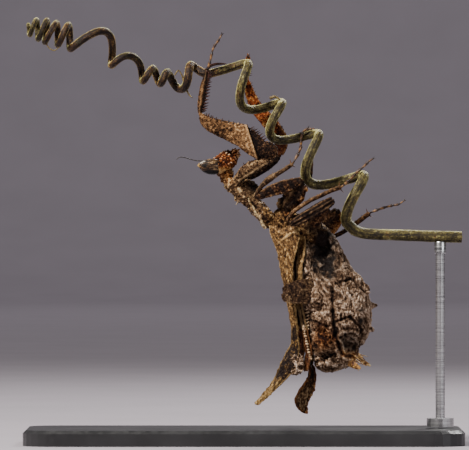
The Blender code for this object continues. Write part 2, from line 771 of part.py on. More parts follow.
def build_head():
    solid("head", [loft(spline(HEAD, 2), HEAD_SIDES)], bark())
    eye = spline(EYE, 2)
    solid("eye_left", [loft(eye, EYE_SIDES)], eye_grey(), [clearance(HEAD, HEAD_SIDES)])
    solid("eye_right", [loft(mirrored(eye), EYE_SIDES)], eye_grey(), [clearance(HEAD, HEAD_SIDES)])
    feeler = [(*row, ANTENNA_RADIUS) for row in spline(ANTENNA, 2)]
    solid("antenna_left", [tube(feeler, 6)], bark(), [clearance(HEAD, HEAD_SIDES)])
    solid("antenna_right", [tube(mirrored(feeler), 6)], bark(), [clearance(HEAD, HEAD_SIDES)])


def build_body():
    neck = spline(PROTHORAX, 2)
    teeth = spine_row(neck, 0.12, 0.92, 8, (-0.7, 0.35, -0.7), 0.35, 0.22)
    teeth += spine_row(neck, 0.16, 0.88, 7, (-0.7, -0.35, -0.7), 0.35, 0.22)
    solid("prothorax", [loft(neck, PROTHORAX_SIDES), *teeth], bark(), [clearance(HEAD, HEAD_SIDES)])
    thorax = loft(spline(THORAX, 2), THORAX_SIDES)
    solid("thorax", [thorax], bark(), [clearance(PROTHORAX, PROTHORAX_SIDES)])
    abdomen = [loft(spline(ABDOMEN, 2), ABDOMEN_SIDES, shape=segments)]
    for lobe in ABDOMEN_LOBES:
        abdomen.append(loft(spline(lobe, 2), 8))
    solid("abdomen", abdomen, bark(), [clearance(THORAX, THORAX_SIDES)])
    for name, stations in (("cercus_left", CERCUS_LEFT), ("cercus_right", mirrored(CERCUS_RIGHT))):
        solid(name, [loft(spline(stations, 2), 8)], orange(), [clearance(ABDOMEN, ABDOMEN_SIDES)])


def segments(t, angle):
    """Draws the abdomen in between its plates, and folds its flanks."""
    drawn_in = PLATE_GROOVE * (1.0 + math.cos(math.tau * PLATES * t))
    fold = FLANK_FOLD * math.sin(FLANK_FOLDS * angle + FOLD_SLANT * t)
    return 1.0 - drawn_in + fold


def sheet(rows, thickness, ridges, across=10, side=1.0):
    """Makes a thin wing through rows of left and right edges.

    It is bowed outwards, with its veins raised on the outer face.
    """
    bm = bmesh.new()
    faces = []
    count = across + 1
    for outer in (True, False):
        grid = []
        for index, row in enumerate(rows):
            left, right = Vector(row[:3]), Vector(row[3:])
            line = []
            for step in range(count):
                t = step / across
                bow = math.sin(math.pi * t) * 0.14 * (right - left).length
                rise = max(ridges(index / (len(rows) - 1), t), 0.0) if outer else 0.0
                point = left.lerp(right, t)
                edge = 0.5 if step in (0, across) or index in (0, len(rows) - 1) else 1.0
                offset = thickness / 2 * edge
                point.y += bow + (offset + rise if outer else -offset)
                line.append(bm.verts.new(Vector((point.x, point.y * side, point.z)) * MM))
            grid.append(line)
        faces.append(grid)
    top, under = faces
    for i in range(len(rows) - 1):
        for j in range(across):
            for grid in (top, under):
                a, b, c, d = grid[i][j], grid[i][j + 1], grid[i + 1][j + 1], grid[i + 1][j]
                bm.faces.new((a, b, c))
                bm.faces.new((a, c, d))
    last = len(rows) - 1
    rim = [(0, j) for j in range(across)] + [(i, across) for i in range(last)]
    rim += [(last, j) for j in range(across, 0, -1)] + [(i, 0) for i in range(last, 0, -1)]
    for here, there in zip(rim, rim[1:] + rim[:1]):
        a, b = top[here[0]][here[1]], top[there[0]][there[1]]
        c, d = under[there[0]][there[1]], under[here[0]][here[1]]
        bm.faces.new((a, b, c))
        bm.faces.new((a, c, d))
    bmesh.ops.recalc_face_normals(bm, faces=bm.faces)
    return bm


def wing_veins(t, u):
    """Gives the height of the veins at t along the wing and u across it.

    There is one midrib, and side veins slant off it.
    """
    midrib = 1.0 - abs(u - MIDRIB_PLACE) / 0.07
    slant = (t * SIDE_VEINS + abs(u - MIDRIB_PLACE) * 2.2) % 1.0
    branch = 0.6 * (1.0 - min(slant, 1.0 - slant) / 0.16)
    return VEIN_HEIGHT * max(midrib, branch, 0.0)


def spine_row(stations, start, end, count, direction, length, radius):
    """Sets spines on the side of a leg that faces direction, from start to end along its stations."""
    made = []
    direction = Vector(direction).normalized()
    for index in range(count):
        t = start + (end - start) * index / max(count - 1, 1)
        place = t * (len(stations) - 1)
        low = min(int(place), len(stations) - 2)
        here = Vector(stations[low]).lerp(Vector(stations[low + 1]), place - low)
        reach = length * (0.75 + 0.5 * random.random())
        centre = Vector(here[:3])
        along = (Vector(stations[low + 1][:3]) - Vector(stations[low][:3])).normalized()
        outward = (direction - along * direction.dot(along)).normalized()
        level = abs(outward.y)
        surface = here[3] * (1.0 - level) + here[4] * level
        root = centre + outward * (surface - 0.22)
        tip = centre + outward * (surface + reach) + direction * reach * 0.3
        made.append(spine(root, tip, radius))
    return made


def build_leg(name, parts, cuts, right):
    """Makes a leg's pieces, each cut clear of the one before it.

    parts holds (piece name, stations, extra pieces, look, sides), cuts what the leg's root meets.
    """
    previous = cuts
    for piece, stations, extra, look, sides in parts:
        smooth = spline(stations, 2)
        if right:
            smooth = mirrored(smooth)
        pieces = [loft(smooth, sides)]
        for other in extra(smooth) if extra else []:
            pieces.append(other)
        solid(f"{name}_{piece}", pieces, look, [clearance(*cut) for cut in previous])
        previous = [(mirrored(stations) if right else stations, sides)]


def fore_femur_spines(stations):
    """Gives the fore femur its two rows of spines, on the side that the tibia closes on."""
    outer = spine_row(stations, 0.36, 0.92, 8, (0.25, 0.35, 1.0), length=0.55, radius=0.17)
    inner = spine_row(stations, 0.22, 0.62, 8, (0.35, -0.3, 1.0), length=0.75, radius=0.17)
    return outer + inner


def fore_tibia_spines(stations):
    """Gives the fore tibia its close row of slanted spines."""
    return spine_row(stations, 0.10, 0.84, 14, (1.0, 0.0, 0.35), length=0.75, radius=0.15)


def right_tibia_and_claw(stations):
    claw = tube(mirrored(spline(FORE_CLAW_RIGHT, 2)), 6)
    return [claw, *fore_tibia_spines(stations)]


def left_tibia_and_claw(stations):
    claw = tube(spline(FORE_CLAW_LEFT, 2), 6)
    return [claw, *spine_row(stations, 0.12, 0.75, 6, (1.0, 0.0, 0.35), length=0.7, radius=0.15)]


def apex_spurs(stations):
    """Gives a walking tibia its two end spurs."""
    end, before = Vector(stations[-1][:3]), Vector(stations[-2][:3])
    along = (end - before).normalized()
    made = []
    for sideways in (-1.0, 1.0):
        across = Vector((-along.z, 0.0, along.x)) * sideways
        made.append(spine(end - along * 0.35, end + across * 0.75 + along * 0.25, 0.16))
    return made


def build_legs():
    prothorax = (PROTHORAX, PROTHORAX_SIDES)
    thorax = (THORAX, THORAX_SIDES)
    brown, inner = bark(), orange()
    fore_right = [
        ("coxa", FORE_COXA_RIGHT, None, brown, 10),
        ("femur", FORE_FEMUR_RIGHT, fore_femur_spines, brown, 10),
        ("tibia", FORE_TIBIA_RIGHT, right_tibia_and_claw, brown, 8),
        ("tarsus", FORE_TARSUS_RIGHT, None, inner, 6),
    ]
    fore_left = [
        ("coxa", FORE_COXA_LEFT, None, inner, 10),
        ("femur", FORE_FEMUR_LEFT, fore_femur_spines, inner, 10),
        ("tibia", FORE_TIBIA_LEFT, left_tibia_and_claw, inner, 8),
        ("tarsus", FORE_TARSUS_LEFT, None, inner, 6),
    ]
    mid_right = [
        ("coxa", MID_COXA_RIGHT, None, brown, 10),
        ("femur", MID_FEMUR_RIGHT, None, brown, 10),
        ("tibia", MID_TIBIA_RIGHT, apex_spurs, brown, 8),
        ("tarsus", MID_TARSUS_RIGHT, None, inner, 6),
    ]
    mid_left = [
        ("coxa", MID_COXA_LEFT, None, brown, 10),
        ("femur", MID_FEMUR_LEFT, None, brown, 10),
        ("tibia", MID_TIBIA_LEFT, apex_spurs, brown, 8),
        ("tarsus", MID_TARSUS_LEFT, None, inner, 6),
    ]
    hind_right = [
        ("coxa", HIND_COXA_RIGHT, None, brown, 10),
        ("femur", HIND_FEMUR_RIGHT, None, brown, 10),
        ("tibia", HIND_TIBIA_RIGHT, apex_spurs, brown, 8),
        ("tarsus", HIND_TARSUS_RIGHT, None, inner, 6),
    ]
    hind_left = [
        ("coxa", HIND_COXA_LEFT, None, brown, 10),
        ("femur", HIND_FEMUR_LEFT, None, brown, 10),
        ("tibia", HIND_TIBIA_LEFT, apex_spurs, brown, 8),
        ("tarsus", HIND_TARSUS_LEFT, None, inner, 6),
    ]
    build_leg("foreleg_right", fore_right, [prothorax], True)
    build_leg("foreleg_left", fore_left, [prothorax], False)
    build_leg("midleg_right", mid_right, [thorax], True)
    build_leg("midleg_left", mid_left, [thorax], False)
    build_leg("hindleg_right", hind_right, [thorax], True)
    build_leg("hindleg_left", hind_left, [thorax], False)


def build_wings():
    brown, inner = bark(), orange()
    body = [(PROTHORAX, PROTHORAX_SIDES), (THORAX, THORAX_SIDES)]
    for side, name, forewing, coxae in (
        (-1.0, "right", FOREWING_RIGHT, (mirrored(MID_COXA_RIGHT), mirrored(HIND_COXA_RIGHT))),
        (1.0, "left", FOREWING_LEFT, (MID_COXA_LEFT, HIND_COXA_LEFT)),
    ):
        under = [clearance(*cut) for cut in body]
        under += [clearance(coxa, 10) for coxa in coxae]
        fore = sheet(spline(forewing, 2), WING_THICKNESS, wing_veins, side=side)
        solid(f"forewing_{name}", [fore], brown, under)
        hind = sheet(spline(HINDWING[side], 2), WING_THICKNESS, wing_veins, 6, side)
        under = [clearance(THORAX, THORAX_SIDES), clearance(ABDOMEN, ABDOMEN_SIDES)]
        solid(f"hindwing_{name}", [hind], inner, under)


def build_stand():
    """Makes the flat base and the rod that carries the stem."""
    bm = bmesh.new()
    outline = []
    corners = ((1, 1, 0), (-1, 1, 1), (-1, -1, 2), (1, -1, 3))
    for sign_x, sign_y, quarter in corners:
        centre_x = sign_x * (BASE_LENGTH / 2 - BASE_CORNER)
        centre_y = sign_y * (BASE_WIDTH / 2 - BASE_CORNER)
        for step in range(7):
            angle = math.pi / 2 * (quarter + step / 6)
            x = centre_x + BASE_CORNER * math.cos(angle)
            y = centre_y + BASE_CORNER * math.sin(angle)
            outline.append((x, y))
    rings = []
    for inset, z in ((0.0, 0.0), (0.0, BASE_THICKNESS - BASE_EDGE), (BASE_EDGE, BASE_THICKNESS)):
        ring = []
        for x, y in outline:
            shrink_x = 1.0 - 2.0 * inset / BASE_LENGTH
            shrink_y = 1.0 - 2.0 * inset / BASE_WIDTH
            ring.append(bm.verts.new(Vector((x * shrink_x, y * shrink_y, z)) * MM))
        rings.append(ring)
    bridge(bm, rings, Vector((0, 0, 0)), Vector((0, 0, BASE_THICKNESS)) * MM)
    solid("stand_base", [bm], stand_black(), smooth=30.0)
    _, _, stem_z, stem_radius = STEM[1]
    top = stem_z - stem_radius - GAP
    foot = BASE_THICKNESS + GAP
    profile = [
        (ROD_X, 0.0, foot, ROD_FOOT_RADIUS),
        (ROD_X, 0.0, foot + ROD_FOOT_HEIGHT, ROD_FOOT_RADIUS),
        (ROD_X, 0.0, foot + ROD_FOOT_HEIGHT + 0.01, ROD_RADIUS),
        (ROD_X, 0.0, top, ROD_RADIUS),
    ]
    solid("stand_rod", [tube(profile, ROD_SIDES)], rod_steel(), smooth=30.0)


def main():
    for old in list(bpy.data.objects):
        bpy.data.objects.remove(old)
    random.seed(7)
    build_perch()
    build_head()
    build_body()
    build_legs()
    build_wings()
    build_stand()


main()
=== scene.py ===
"""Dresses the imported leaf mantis: skins, spines, eyes, wings, tendril and stand, with a studio round them.

Lengths are millimetres until a piece is finished, and metres in the scene. A station is (x, y, z, half width
in the XZ plane, half depth). The head points to -X, the right side to -Y, and +Z is up.
"""

import math
import random

import bmesh
import bpy
from mathutils import Matrix, Vector, noise


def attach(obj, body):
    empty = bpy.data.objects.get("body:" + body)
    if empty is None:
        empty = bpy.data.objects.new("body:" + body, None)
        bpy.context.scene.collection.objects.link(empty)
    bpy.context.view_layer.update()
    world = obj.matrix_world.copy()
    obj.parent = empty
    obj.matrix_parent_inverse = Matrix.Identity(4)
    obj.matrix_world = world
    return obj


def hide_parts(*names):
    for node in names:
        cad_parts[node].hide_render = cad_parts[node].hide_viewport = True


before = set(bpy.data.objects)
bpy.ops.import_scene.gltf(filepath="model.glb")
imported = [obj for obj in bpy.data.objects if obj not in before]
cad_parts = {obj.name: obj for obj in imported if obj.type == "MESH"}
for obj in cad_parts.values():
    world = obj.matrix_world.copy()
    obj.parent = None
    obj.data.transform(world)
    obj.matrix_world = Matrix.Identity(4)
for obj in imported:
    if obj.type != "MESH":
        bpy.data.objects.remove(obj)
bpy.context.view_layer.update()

MM = 0.001
BOTH_SIDES = (1.0, -1.0)
DEPTH = Vector((0.0, 1.0, 0.0))
TENDRIL_SIDES = 30
TENDRIL_STEPS = 16

STEM_END_X = 41.6
# The stem's route from its cut end to the first bend: x, y, z, radius.
STEM = [
    (STEM_END_X, 0.0, 39.5, 1.10),
    (37.0, 0.0, 39.6, 1.10),
    (32.5, 0.0, 39.75, 1.08),
    (28.5, 0.0, 39.9, 1.06),
    (25.0, -0.1, 40.0, 1.05),
    (22.8, -0.4, 40.2, 1.05),
    (21.2, -0.9, 40.7, 1.05),
]
# One row a turn: top x, z; bottom x, z; depth of the strand down and of the strand up; radius;
# roundness of the top and of the bottom.
TURNS = [
    (None, None, 19.5, 42.3, None, 2.2, 1.05, None, 0.80),
    (22.9, 51.2, 12.3, 50.1, 2.4, 2.6, 0.96, 0.22, 0.80),
    (14.3, 59.2, 5.4, 58.5, 2.6, 2.6, 0.86, 0.22, 0.80),
    (7.25, 65.15, -0.3, 64.5, 2.6, 2.6, 0.85, 0.22, 0.80),
    (0.8, 72.65, -6.8, 70.7, 1.4, -1.0, 0.82, 0.22, 0.45),
    (-10.2, 72.3, -11.8, 67.8, -1.8, -1.7, 0.80, 0.30, 1.00),
    (-14.6, 71.0, -16.0, 68.8, -1.7, -1.7, 0.74, 0.30, 0.45),
    (-17.4, 71.7, -19.3, 69.3, -1.7, -2.0, 0.68, 0.35, 0.25),
    (-21.15, 73.9, -25.3, 72.3, -2.0, -2.2, 0.70, 1.00, 0.15),
    (-26.4, 78.7, -33.1, 75.5, -2.2, -2.3, 0.74, 0.80, 0.15),
    (-33.5, 80.0, -35.5, 76.2, -2.3, -2.3, 0.64, 0.30, 0.30),
    (-35.8, 80.4, -38.0, 76.7, -2.2, -2.2, 0.58, 0.30, 0.30),
    (-37.6, 80.9, -39.3, 77.3, -2.1, -2.0, 0.54, 0.30, 0.30),
    (-39.6, 81.0, -40.9, 78.1, -1.8, -1.5, 0.48, 0.30, 0.30),
    (-41.2, 80.1, None, None, None, None, 0.38, 0.30, None),
]

HEAD = [
    (-6.75, 0.0, 52.7, 0.75, 0.75),
    (-5.5, 0.0, 53.1, 1.50, 1.30),
    (-4.0, 0.0, 53.6, 1.85, 1.60),
    (-2.8, 0.0, 54.35, 1.70, 1.35),
    (-1.9, 0.0, 55.15, 1.20, 1.00),
    (-1.15, 0.0, 56.0, 0.50, 0.55),
]
EYE = [
    (-5.0, 1.50, 52.95, 1.35, 0.80),
    (-5.7, 1.75, 52.95, 1.52, 0.95),
    (-6.5, 1.90, 52.95, 1.50, 1.00),
    (-7.2, 2.00, 53.0, 1.30, 0.90),
    (-7.9, 2.10, 53.1, 0.95, 0.75),
    (-8.4, 2.15, 53.15, 0.58, 0.50),
    (-8.8, 2.20, 53.15, 0.16, 0.15),
]
ANTENNA = [
    (-6.3, 0.32, 53.6),
    (-7.2, 0.34, 53.95),
    (-8.0, 0.45, 54.05),
    (-9.15, 0.70, 54.1),
    (-10.35, 0.95, 54.4),
    (-11.2, 1.15, 54.65),
    (-11.9, 1.30, 54.75),
    (-12.45, 1.40, 54.7),
    (-12.85, 1.50, 54.3),
]
# A feeler's radius at its root and at its tip.
ANTENNA_ROOT, ANTENNA_TIP = 0.12, 0.06

PROTHORAX = [
    (-3.9, 0.0, 51.6, 0.80, 0.90),
    (-2.8, 0.0, 50.0, 1.10, 1.20),
    (-1.3, 0.0, 48.6, 1.35, 1.75),
    (0.3, 0.0, 47.3, 1.60, 2.00),
    (1.9, 0.0, 45.9, 1.50, 1.75),
    (3.5, 0.0, 44.2, 1.55, 1.70),
    (4.8, 0.0, 42.8, 1.50, 1.90),
]
THORAX = [
    (5.3, 0.0, 42.5, 1.60, 2.00),
    (7.8, 0.0, 42.4, 2.10, 2.50),
    (10.4, 0.0, 41.7, 2.30, 2.75),
    (12.9, 0.0, 40.8, 2.30, 2.80),
    (15.0, 0.0, 39.3, 2.10, 2.60),
]
ABDOMEN = [
    (14.5, 0.0, 38.8, 2.50, 2.40),
    (14.9, 0.0, 37.4, 3.30, 2.90),
    (15.2, 0.0, 35.8, 4.00, 3.50),
    (15.5, 0.0, 34.1, 4.55, 4.00),
    (16.1, 0.0, 31.4, 5.20, 4.40),
    (17.1, 0.0, 29.0, 6.20, 4.70),
    (17.7, 0.0, 26.5, 6.40, 4.80),
    (18.0, 0.0, 24.0, 6.40, 4.70),
    (17.9, 0.0, 21.8, 6.00, 4.40),
    (17.4, 0.0, 19.6, 5.10, 3.90),
    (17.1, 0.0, 17.3, 4.50, 3.20),
    (16.3, 0.0, 15.4, 2.80, 2.30),
    (15.8, 0.0, 14.1, 1.20, 1.10),
]
# Lobes on the abdomen's side away from the wings: one step and two spikes.
ABDOMEN_LOBES = [
    [
        (20.0, -0.5, 29.0, 2.20, 1.20),
        (22.4, -0.6, 29.4, 1.30, 0.60),
        (23.5, -0.6, 29.9, 0.40, 0.26),
    ],
    [
        (21.8, 0.3, 26.4, 1.80, 1.00),
        (24.2, 0.5, 26.4, 0.80, 0.45),
        (25.5, 0.6, 26.4, 0.20, 0.20),
    ],
    [
        (21.4, -0.4, 22.0, 1.80, 1.00),
        (23.8, -0.6, 21.9, 0.80, 0.45),
        (24.9, -0.6, 21.9, 0.20, 0.20),
    ],
]
# The cerci. Y is depth away from the middle plane.
CERCUS_RIGHT = [
    (19.6, 1.0, 16.9, 0.70, 0.50),
    (20.4, 1.2, 15.6, 0.80, 0.55),
    (21.3, 1.3, 14.9, 0.60, 0.45),
    (22.2, 1.4, 14.4, 0.22, 0.22),
]
CERCUS_LEFT = [
    (21.2, 1.0, 17.3, 0.60, 0.45),
    (22.3, 1.2, 16.2, 0.55, 0.42),
    (23.2, 1.4, 15.4, 0.40, 0.35),
    (24.1, 1.6, 14.9, 0.14, 0.14),
]

# The wings. One row across a wing: left edge x, y, z; right edge x, y, z. Y is depth away from the middle.
FOREWING_RIGHT = [
    (5.4, 1.6, 43.6, 7.7, 2.9, 45.0),
    (4.9, 1.2, 41.8, 9.4, 3.3, 42.8),
    (5.2, 1.2, 40.0, 10.5, 3.5, 40.5),
    (6.1, 1.2, 37.8, 10.3, 3.6, 37.7),
    (6.8, 1.2, 35.0, 9.6, 3.5, 35.1),
    (7.4, 1.3, 32.3, 9.3, 3.3, 32.6),
    (8.0, 1.4, 29.6, 9.6, 3.2, 29.6),
    (8.5, 1.4, 26.7, 9.9, 3.1, 26.7),
    (8.9, 1.4, 24.4, 10.1, 3.0, 24.3),
    (9.3, 1.3, 21.9, 10.4, 2.8, 21.5),
    (9.0, 1.2, 18.8, 10.6, 2.5, 18.0),
    (7.4, 1.2, 16.0, 10.1, 2.3, 15.1),
    (6.6, 1.3, 14.0, 9.2, 2.2, 13.6),
    (5.6, 1.4, 12.1, 7.5, 2.1, 11.7),
    (4.1, 1.5, 10.2, 5.7, 1.9, 10.0),
    (2.7, 1.5, 8.6, 3.9, 1.7, 8.4),
    (2.0, 1.5, 7.8, 2.7, 1.6, 7.4),
]

FOREWING_LEFT = [
    (5.7, 1.6, 43.3, 7.9, 2.9, 44.7),
    (5.3, 1.3, 41.3, 10.0, 3.3, 42.0),
    (6.2, 1.4, 38.6, 11.1, 3.9, 39.5),
    (7.1, 1.5, 35.9, 11.6, 4.6, 36.6),
    (8.2, 1.6, 32.3, 12.2, 5.2, 33.0),
    (9.3, 1.7, 28.7, 13.0, 5.4, 29.4),
    (10.3, 1.8, 25.1, 13.4, 5.4, 25.5),
    (11.0, 1.9, 21.5, 13.3, 5.0, 21.9),
    (11.6, 1.8, 18.3, 13.2, 3.9, 18.3),
    (12.1, 1.6, 15.4, 13.2, 2.6, 15.4),
    (12.4, 1.4, 14.3, 13.4, 2.2, 14.1),
    (12.0, 1.3, 12.5, 13.7, 2.2, 12.7),
    (10.6, 1.2, 10.4, 13.5, 2.2, 10.3),
    (9.7, 1.2, 8.6, 12.8, 2.2, 8.8),
    (10.0, 1.3, 7.0, 12.2, 2.1, 7.1),
    (10.9, 1.4, 6.1, 12.1, 1.9, 6.1),
    (11.6, 1.5, 5.7, 12.0, 1.7, 5.7),
]
HINDWING_RIGHT = [
    (9.8, 1.8, 40.4, 11.7, 2.5, 40.4),
    (10.6, 1.9, 37.3, 11.8, 3.0, 37.3),
    (10.2, 2.0, 34.1, 11.1, 2.8, 33.8),
    (10.1, 2.0, 30.6, 11.0, 2.6, 30.3),
    (10.4, 2.0, 26.6, 11.2, 2.6, 26.6),
    (11.0, 1.9, 23.4, 11.9, 2.6, 23.4),
    (11.4, 1.7, 20.5, 12.5, 2.4, 20.4),
    (11.8, 1.4, 17.5, 13.0, 2.1, 17.7),
    (11.7, 1.2, 15.4, 12.6, 1.8, 15.6),
    (11.6, 1.1, 14.0, 12.0, 1.5, 14.0),
]
HINDWING_LEFT = [
    (9.3, 0.3, 38.6, 10.6, 0.5, 38.6),
    (9.4, 0.3, 36.4, 10.7, 0.6, 36.4),
    (9.4, 0.4, 34.1, 10.8, 0.8, 33.8),
    (9.5, 0.4, 30.6, 11.0, 0.9, 30.3),
    (9.6, 0.4, 26.6, 11.2, 1.0, 26.6),
    (9.7, 0.4, 23.4, 11.6, 1.0, 23.4),
    (9.7, 0.4, 20.5, 11.8, 0.9, 20.4),
    (9.4, 0.3, 17.5, 11.6, 0.6, 17.5),
    (9.5, 0.2, 15.4, 11.3, 0.4, 15.4),
    (10.0, 0.2, 13.4, 10.9, 0.3, 13.4),
]

# The legs, from the body outwards. Y is depth away from the middle plane, as on the left side.
FORE_COXA_RIGHT = [
    (-1.6, 0.9, 49.5, 0.70, 0.60),
    (-1.3, 1.5, 50.6, 0.75, 0.60),
    (0.1, 2.2, 51.9, 1.15, 0.75),
    (1.4, 2.7, 52.75, 1.25, 0.80),
    (2.8, 3.1, 53.45, 1.00, 0.75),
    (4.0, 3.3, 54.0, 0.80, 0.65),
]
FORE_FEMUR_RIGHT = [
    (6.2, 3.4, 55.6, 1.10, 0.60),
    (4.8, 3.5, 55.9, 1.80, 0.90),
    (3.2, 3.5, 56.2, 1.82, 0.95),
    (1.4, 3.4, 57.5, 2.12, 0.85),
    (0.1, 3.3, 58.6, 2.15, 0.80),
    (-1.5, 3.2, 59.2, 2.00, 0.75),
    (-3.2, 3.1, 59.8, 1.78, 0.70),
    (-6.2, 3.0, 60.9, 1.40, 0.60),
    (-7.5, 2.95, 61.9, 1.10, 0.55),
    (-8.2, 2.95, 62.6, 0.60, 0.40),
]
FORE_TIBIA_RIGHT = [
    (-8.35, 2.75, 63.2, 0.45, 0.40),
    (-8.2, 2.60, 64.5, 0.70, 0.42),
    (-7.9, 2.30, 66.5, 0.78, 0.45),
    (-7.6, 1.95, 68.3, 0.74, 0.42),
    (-7.3, 1.60, 69.6, 0.60, 0.36),
    (-7.15, 1.35, 70.6, 0.45, 0.32),
    (-7.1, 1.30, 71.6, 0.40, 0.30),
]
# The claws: x, y, z, radius.
FORE_CLAW_RIGHT = [
    (-7.1, 1.35, 71.0, 0.33),
    (-6.75, 1.10, 71.9, 0.30),
    (-5.9, 0.45, 72.4, 0.27),
    (-4.7, 0.05, 72.6, 0.23),
    (-3.3, 0.00, 72.55, 0.08),
]
FORE_TARSUS_RIGHT = [
    (-6.9, 1.90, 71.6, 0.26, 0.26),
    (-6.4, 1.90, 73.3, 0.28, 0.26),
    (-5.85, 1.75, 75.5, 0.24, 0.24),
    (-4.95, 1.55, 76.9, 0.28, 0.26),
    (-4.2, 1.40, 78.2, 0.14, 0.14),
]
FORE_COXA_LEFT = [
    (-1.8, 0.9, 49.4, 0.70, 0.60),
    (-1.1, 1.5, 50.5, 0.75, 0.60),
    (1.4, 2.5, 51.6, 1.10, 0.75),
    (3.4, 3.3, 52.7, 1.10, 0.75),
    (5.4, 4.1, 53.9, 0.90, 0.70),
    (6.5, 4.7, 54.9, 0.70, 0.60),
]
FORE_FEMUR_LEFT = [
    (6.8, 4.8, 55.5, 0.85, 0.55),
    (7.2, 5.0, 57.0, 1.15, 0.70),
    (6.75, 5.1, 58.8, 1.45, 0.80),
    (5.15, 5.1, 61.2, 1.45, 0.75),
    (3.4, 5.0, 63.1, 1.30, 0.70),
    (2.1, 4.9, 64.9, 1.15, 0.65),
    (1.15, 4.7, 67.0, 0.95, 0.60),
    (0.65, 4.5, 68.7, 0.75, 0.50),
    (0.5, 4.4, 69.5, 0.50, 0.40),
]
FORE_TIBIA_LEFT = [
    (0.5, 4.2, 70.0, 0.40, 0.38),
    (0.6, 3.7, 71.0, 0.58, 0.40),
    (0.7, 3.0, 72.2, 0.56, 0.40),
    (0.75, 2.3, 73.2, 0.46, 0.35),
    (0.8, 1.8, 73.9, 0.36, 0.30),
]
FORE_CLAW_LEFT = [
    (0.72, 2.25, 73.2, 0.22),
    (0.78, 1.75, 73.9, 0.28),
    (0.85, 1.2, 74.3, 0.27),
    (0.8, 0.5, 74.4, 0.21),
    (0.7, -0.1, 74.15, 0.08),
]
FORE_TARSUS_LEFT = [
    (0.9, 2.7, 73.7, 0.26, 0.26),
    (0.0, 2.9, 73.2, 0.27, 0.26),
    (-1.4, 2.9, 72.3, 0.25, 0.25),
    (-3.0, 2.6, 71.5, 0.26, 0.26),
    (-4.4, 2.2, 71.1, 0.14, 0.14),
]
MID_COXA_RIGHT = [
    (7.9, 1.7, 43.5, 1.10, 0.80),
    (8.3, 2.5, 45.1, 1.25, 0.85),
    (9.4, 2.8, 46.4, 1.50, 0.90),
    (10.5, 3.1, 48.1, 1.50, 0.85),
    (11.2, 3.4, 49.5, 1.10, 0.65),
]
MID_FEMUR_RIGHT = [
    (10.9, 3.9, 50.3, 0.60, 0.50),
    (9.2, 4.1, 49.6, 1.05, 0.70),
    (7.3, 4.3, 49.0, 1.25, 0.75),
    (5.15, 4.4, 48.3, 1.05, 0.65),
    (3.3, 4.5, 47.5, 0.75, 0.55),
    (2.3, 4.5, 47.0, 0.48, 0.42),
]
MID_TIBIA_RIGHT = [
    (2.1, 4.6, 47.2, 0.42, 0.36),
    (2.55, 4.7, 48.1, 0.46, 0.36),
    (3.55, 4.7, 49.4, 0.52, 0.34),
    (4.9, 4.7, 50.6, 0.70, 0.32),
    (6.5, 4.6, 51.6, 0.50, 0.34),
    (8.1, 4.4, 52.6, 0.46, 0.38),
    (9.2, 4.2, 53.4, 0.45, 0.36),
]
MID_TARSUS_RIGHT = [
    (9.5, 4.1, 53.9, 0.26, 0.26),
    (10.2, 3.6, 55.1, 0.32, 0.28),
    (10.75, 2.2, 56.3, 0.27, 0.26),
    (10.9, 0.3, 57.2, 0.27, 0.26),
    (10.95, -0.9, 58.3, 0.28, 0.26),
    (11.3, -1.1, 59.6, 0.27, 0.26),
    (12.3, -0.8, 60.4, 0.14, 0.14),
]
MID_COXA_LEFT = [
    (8.3, 1.6, 43.5, 1.00, 0.80),
    (8.0, 2.6, 44.6, 1.10, 0.80),
    (7.6, 3.6, 45.7, 1.20, 0.80),
    (7.5, 4.6, 46.7, 0.90, 0.70),
]
MID_FEMUR_LEFT = [
    (7.7, 5.2, 47.0, 0.60, 0.50),
    (8.8, 5.3, 47.6, 0.95, 0.65),
    (10.2, 5.1, 48.4, 0.95, 0.65),
    (11.4, 4.8, 49.1, 0.70, 0.50),
    (12.0, 4.6, 49.4, 0.50, 0.42),
]
MID_TIBIA_LEFT = [
    (12.3, 4.5, 49.8, 0.40, 0.36),
    (12.7, 4.4, 51.0, 0.46, 0.36),
    (12.85, 4.2, 53.2, 0.48, 0.36),
    (12.95, 3.9, 55.6, 0.44, 0.34),
    (13.4, 3.3, 57.6, 0.44, 0.34),
    (13.75, 3.1, 58.8, 0.40, 0.32),
]
MID_TARSUS_LEFT = [
    (13.6, 2.6, 60.0, 0.26, 0.26),
    (12.7, 3.0, 60.2, 0.26, 0.26),
    (11.2, 3.7, 59.5, 0.26, 0.26),
    (9.8, 3.9, 58.9, 0.14, 0.14),
]
HIND_COXA_RIGHT = [
    (13.0, 2.7, 41.9, 1.20, 0.80),
    (14.5, 3.3, 43.7, 1.20, 0.80),
    (15.7, 3.7, 45.2, 1.00, 0.65),
]
HIND_FEMUR_RIGHT = [
    (16.9, 4.8, 46.5, 0.90, 0.55),
    (15.4, 5.1, 45.6, 1.20, 0.70),
    (13.25, 5.3, 44.3, 1.25, 0.75),
    (11.1, 5.3, 43.1, 1.15, 0.70),
    (9.7, 5.2, 42.3, 0.90, 0.60),
    (8.9, 5.1, 41.8, 0.50, 0.42),
]
HIND_TIBIA_RIGHT = [
    (8.3, 5.1, 42.8, 0.42, 0.40),
    (9.3, 5.0, 44.2, 0.46, 0.38),
    (12.0, 4.8, 46.1, 0.46, 0.38),
    (14.2, 4.7, 47.2, 0.46, 0.38),
    (16.3, 4.6, 48.2, 0.46, 0.38),
    (18.4, 4.5, 49.0, 0.52, 0.40),
]
HIND_TARSUS_RIGHT = [
    (18.9, 4.4, 49.3, 0.26, 0.26),
    (19.6, 3.5, 49.9, 0.32, 0.28),
    (20.8, 2.1, 51.0, 0.27, 0.26),
    (21.6, 1.1, 51.9, 0.28, 0.26),
    (22.8, 0.9, 52.9, 0.27, 0.26),
    (23.8, 1.1, 53.9, 0.26, 0.25),
    (24.7, 1.3, 54.5, 0.14, 0.14),
]
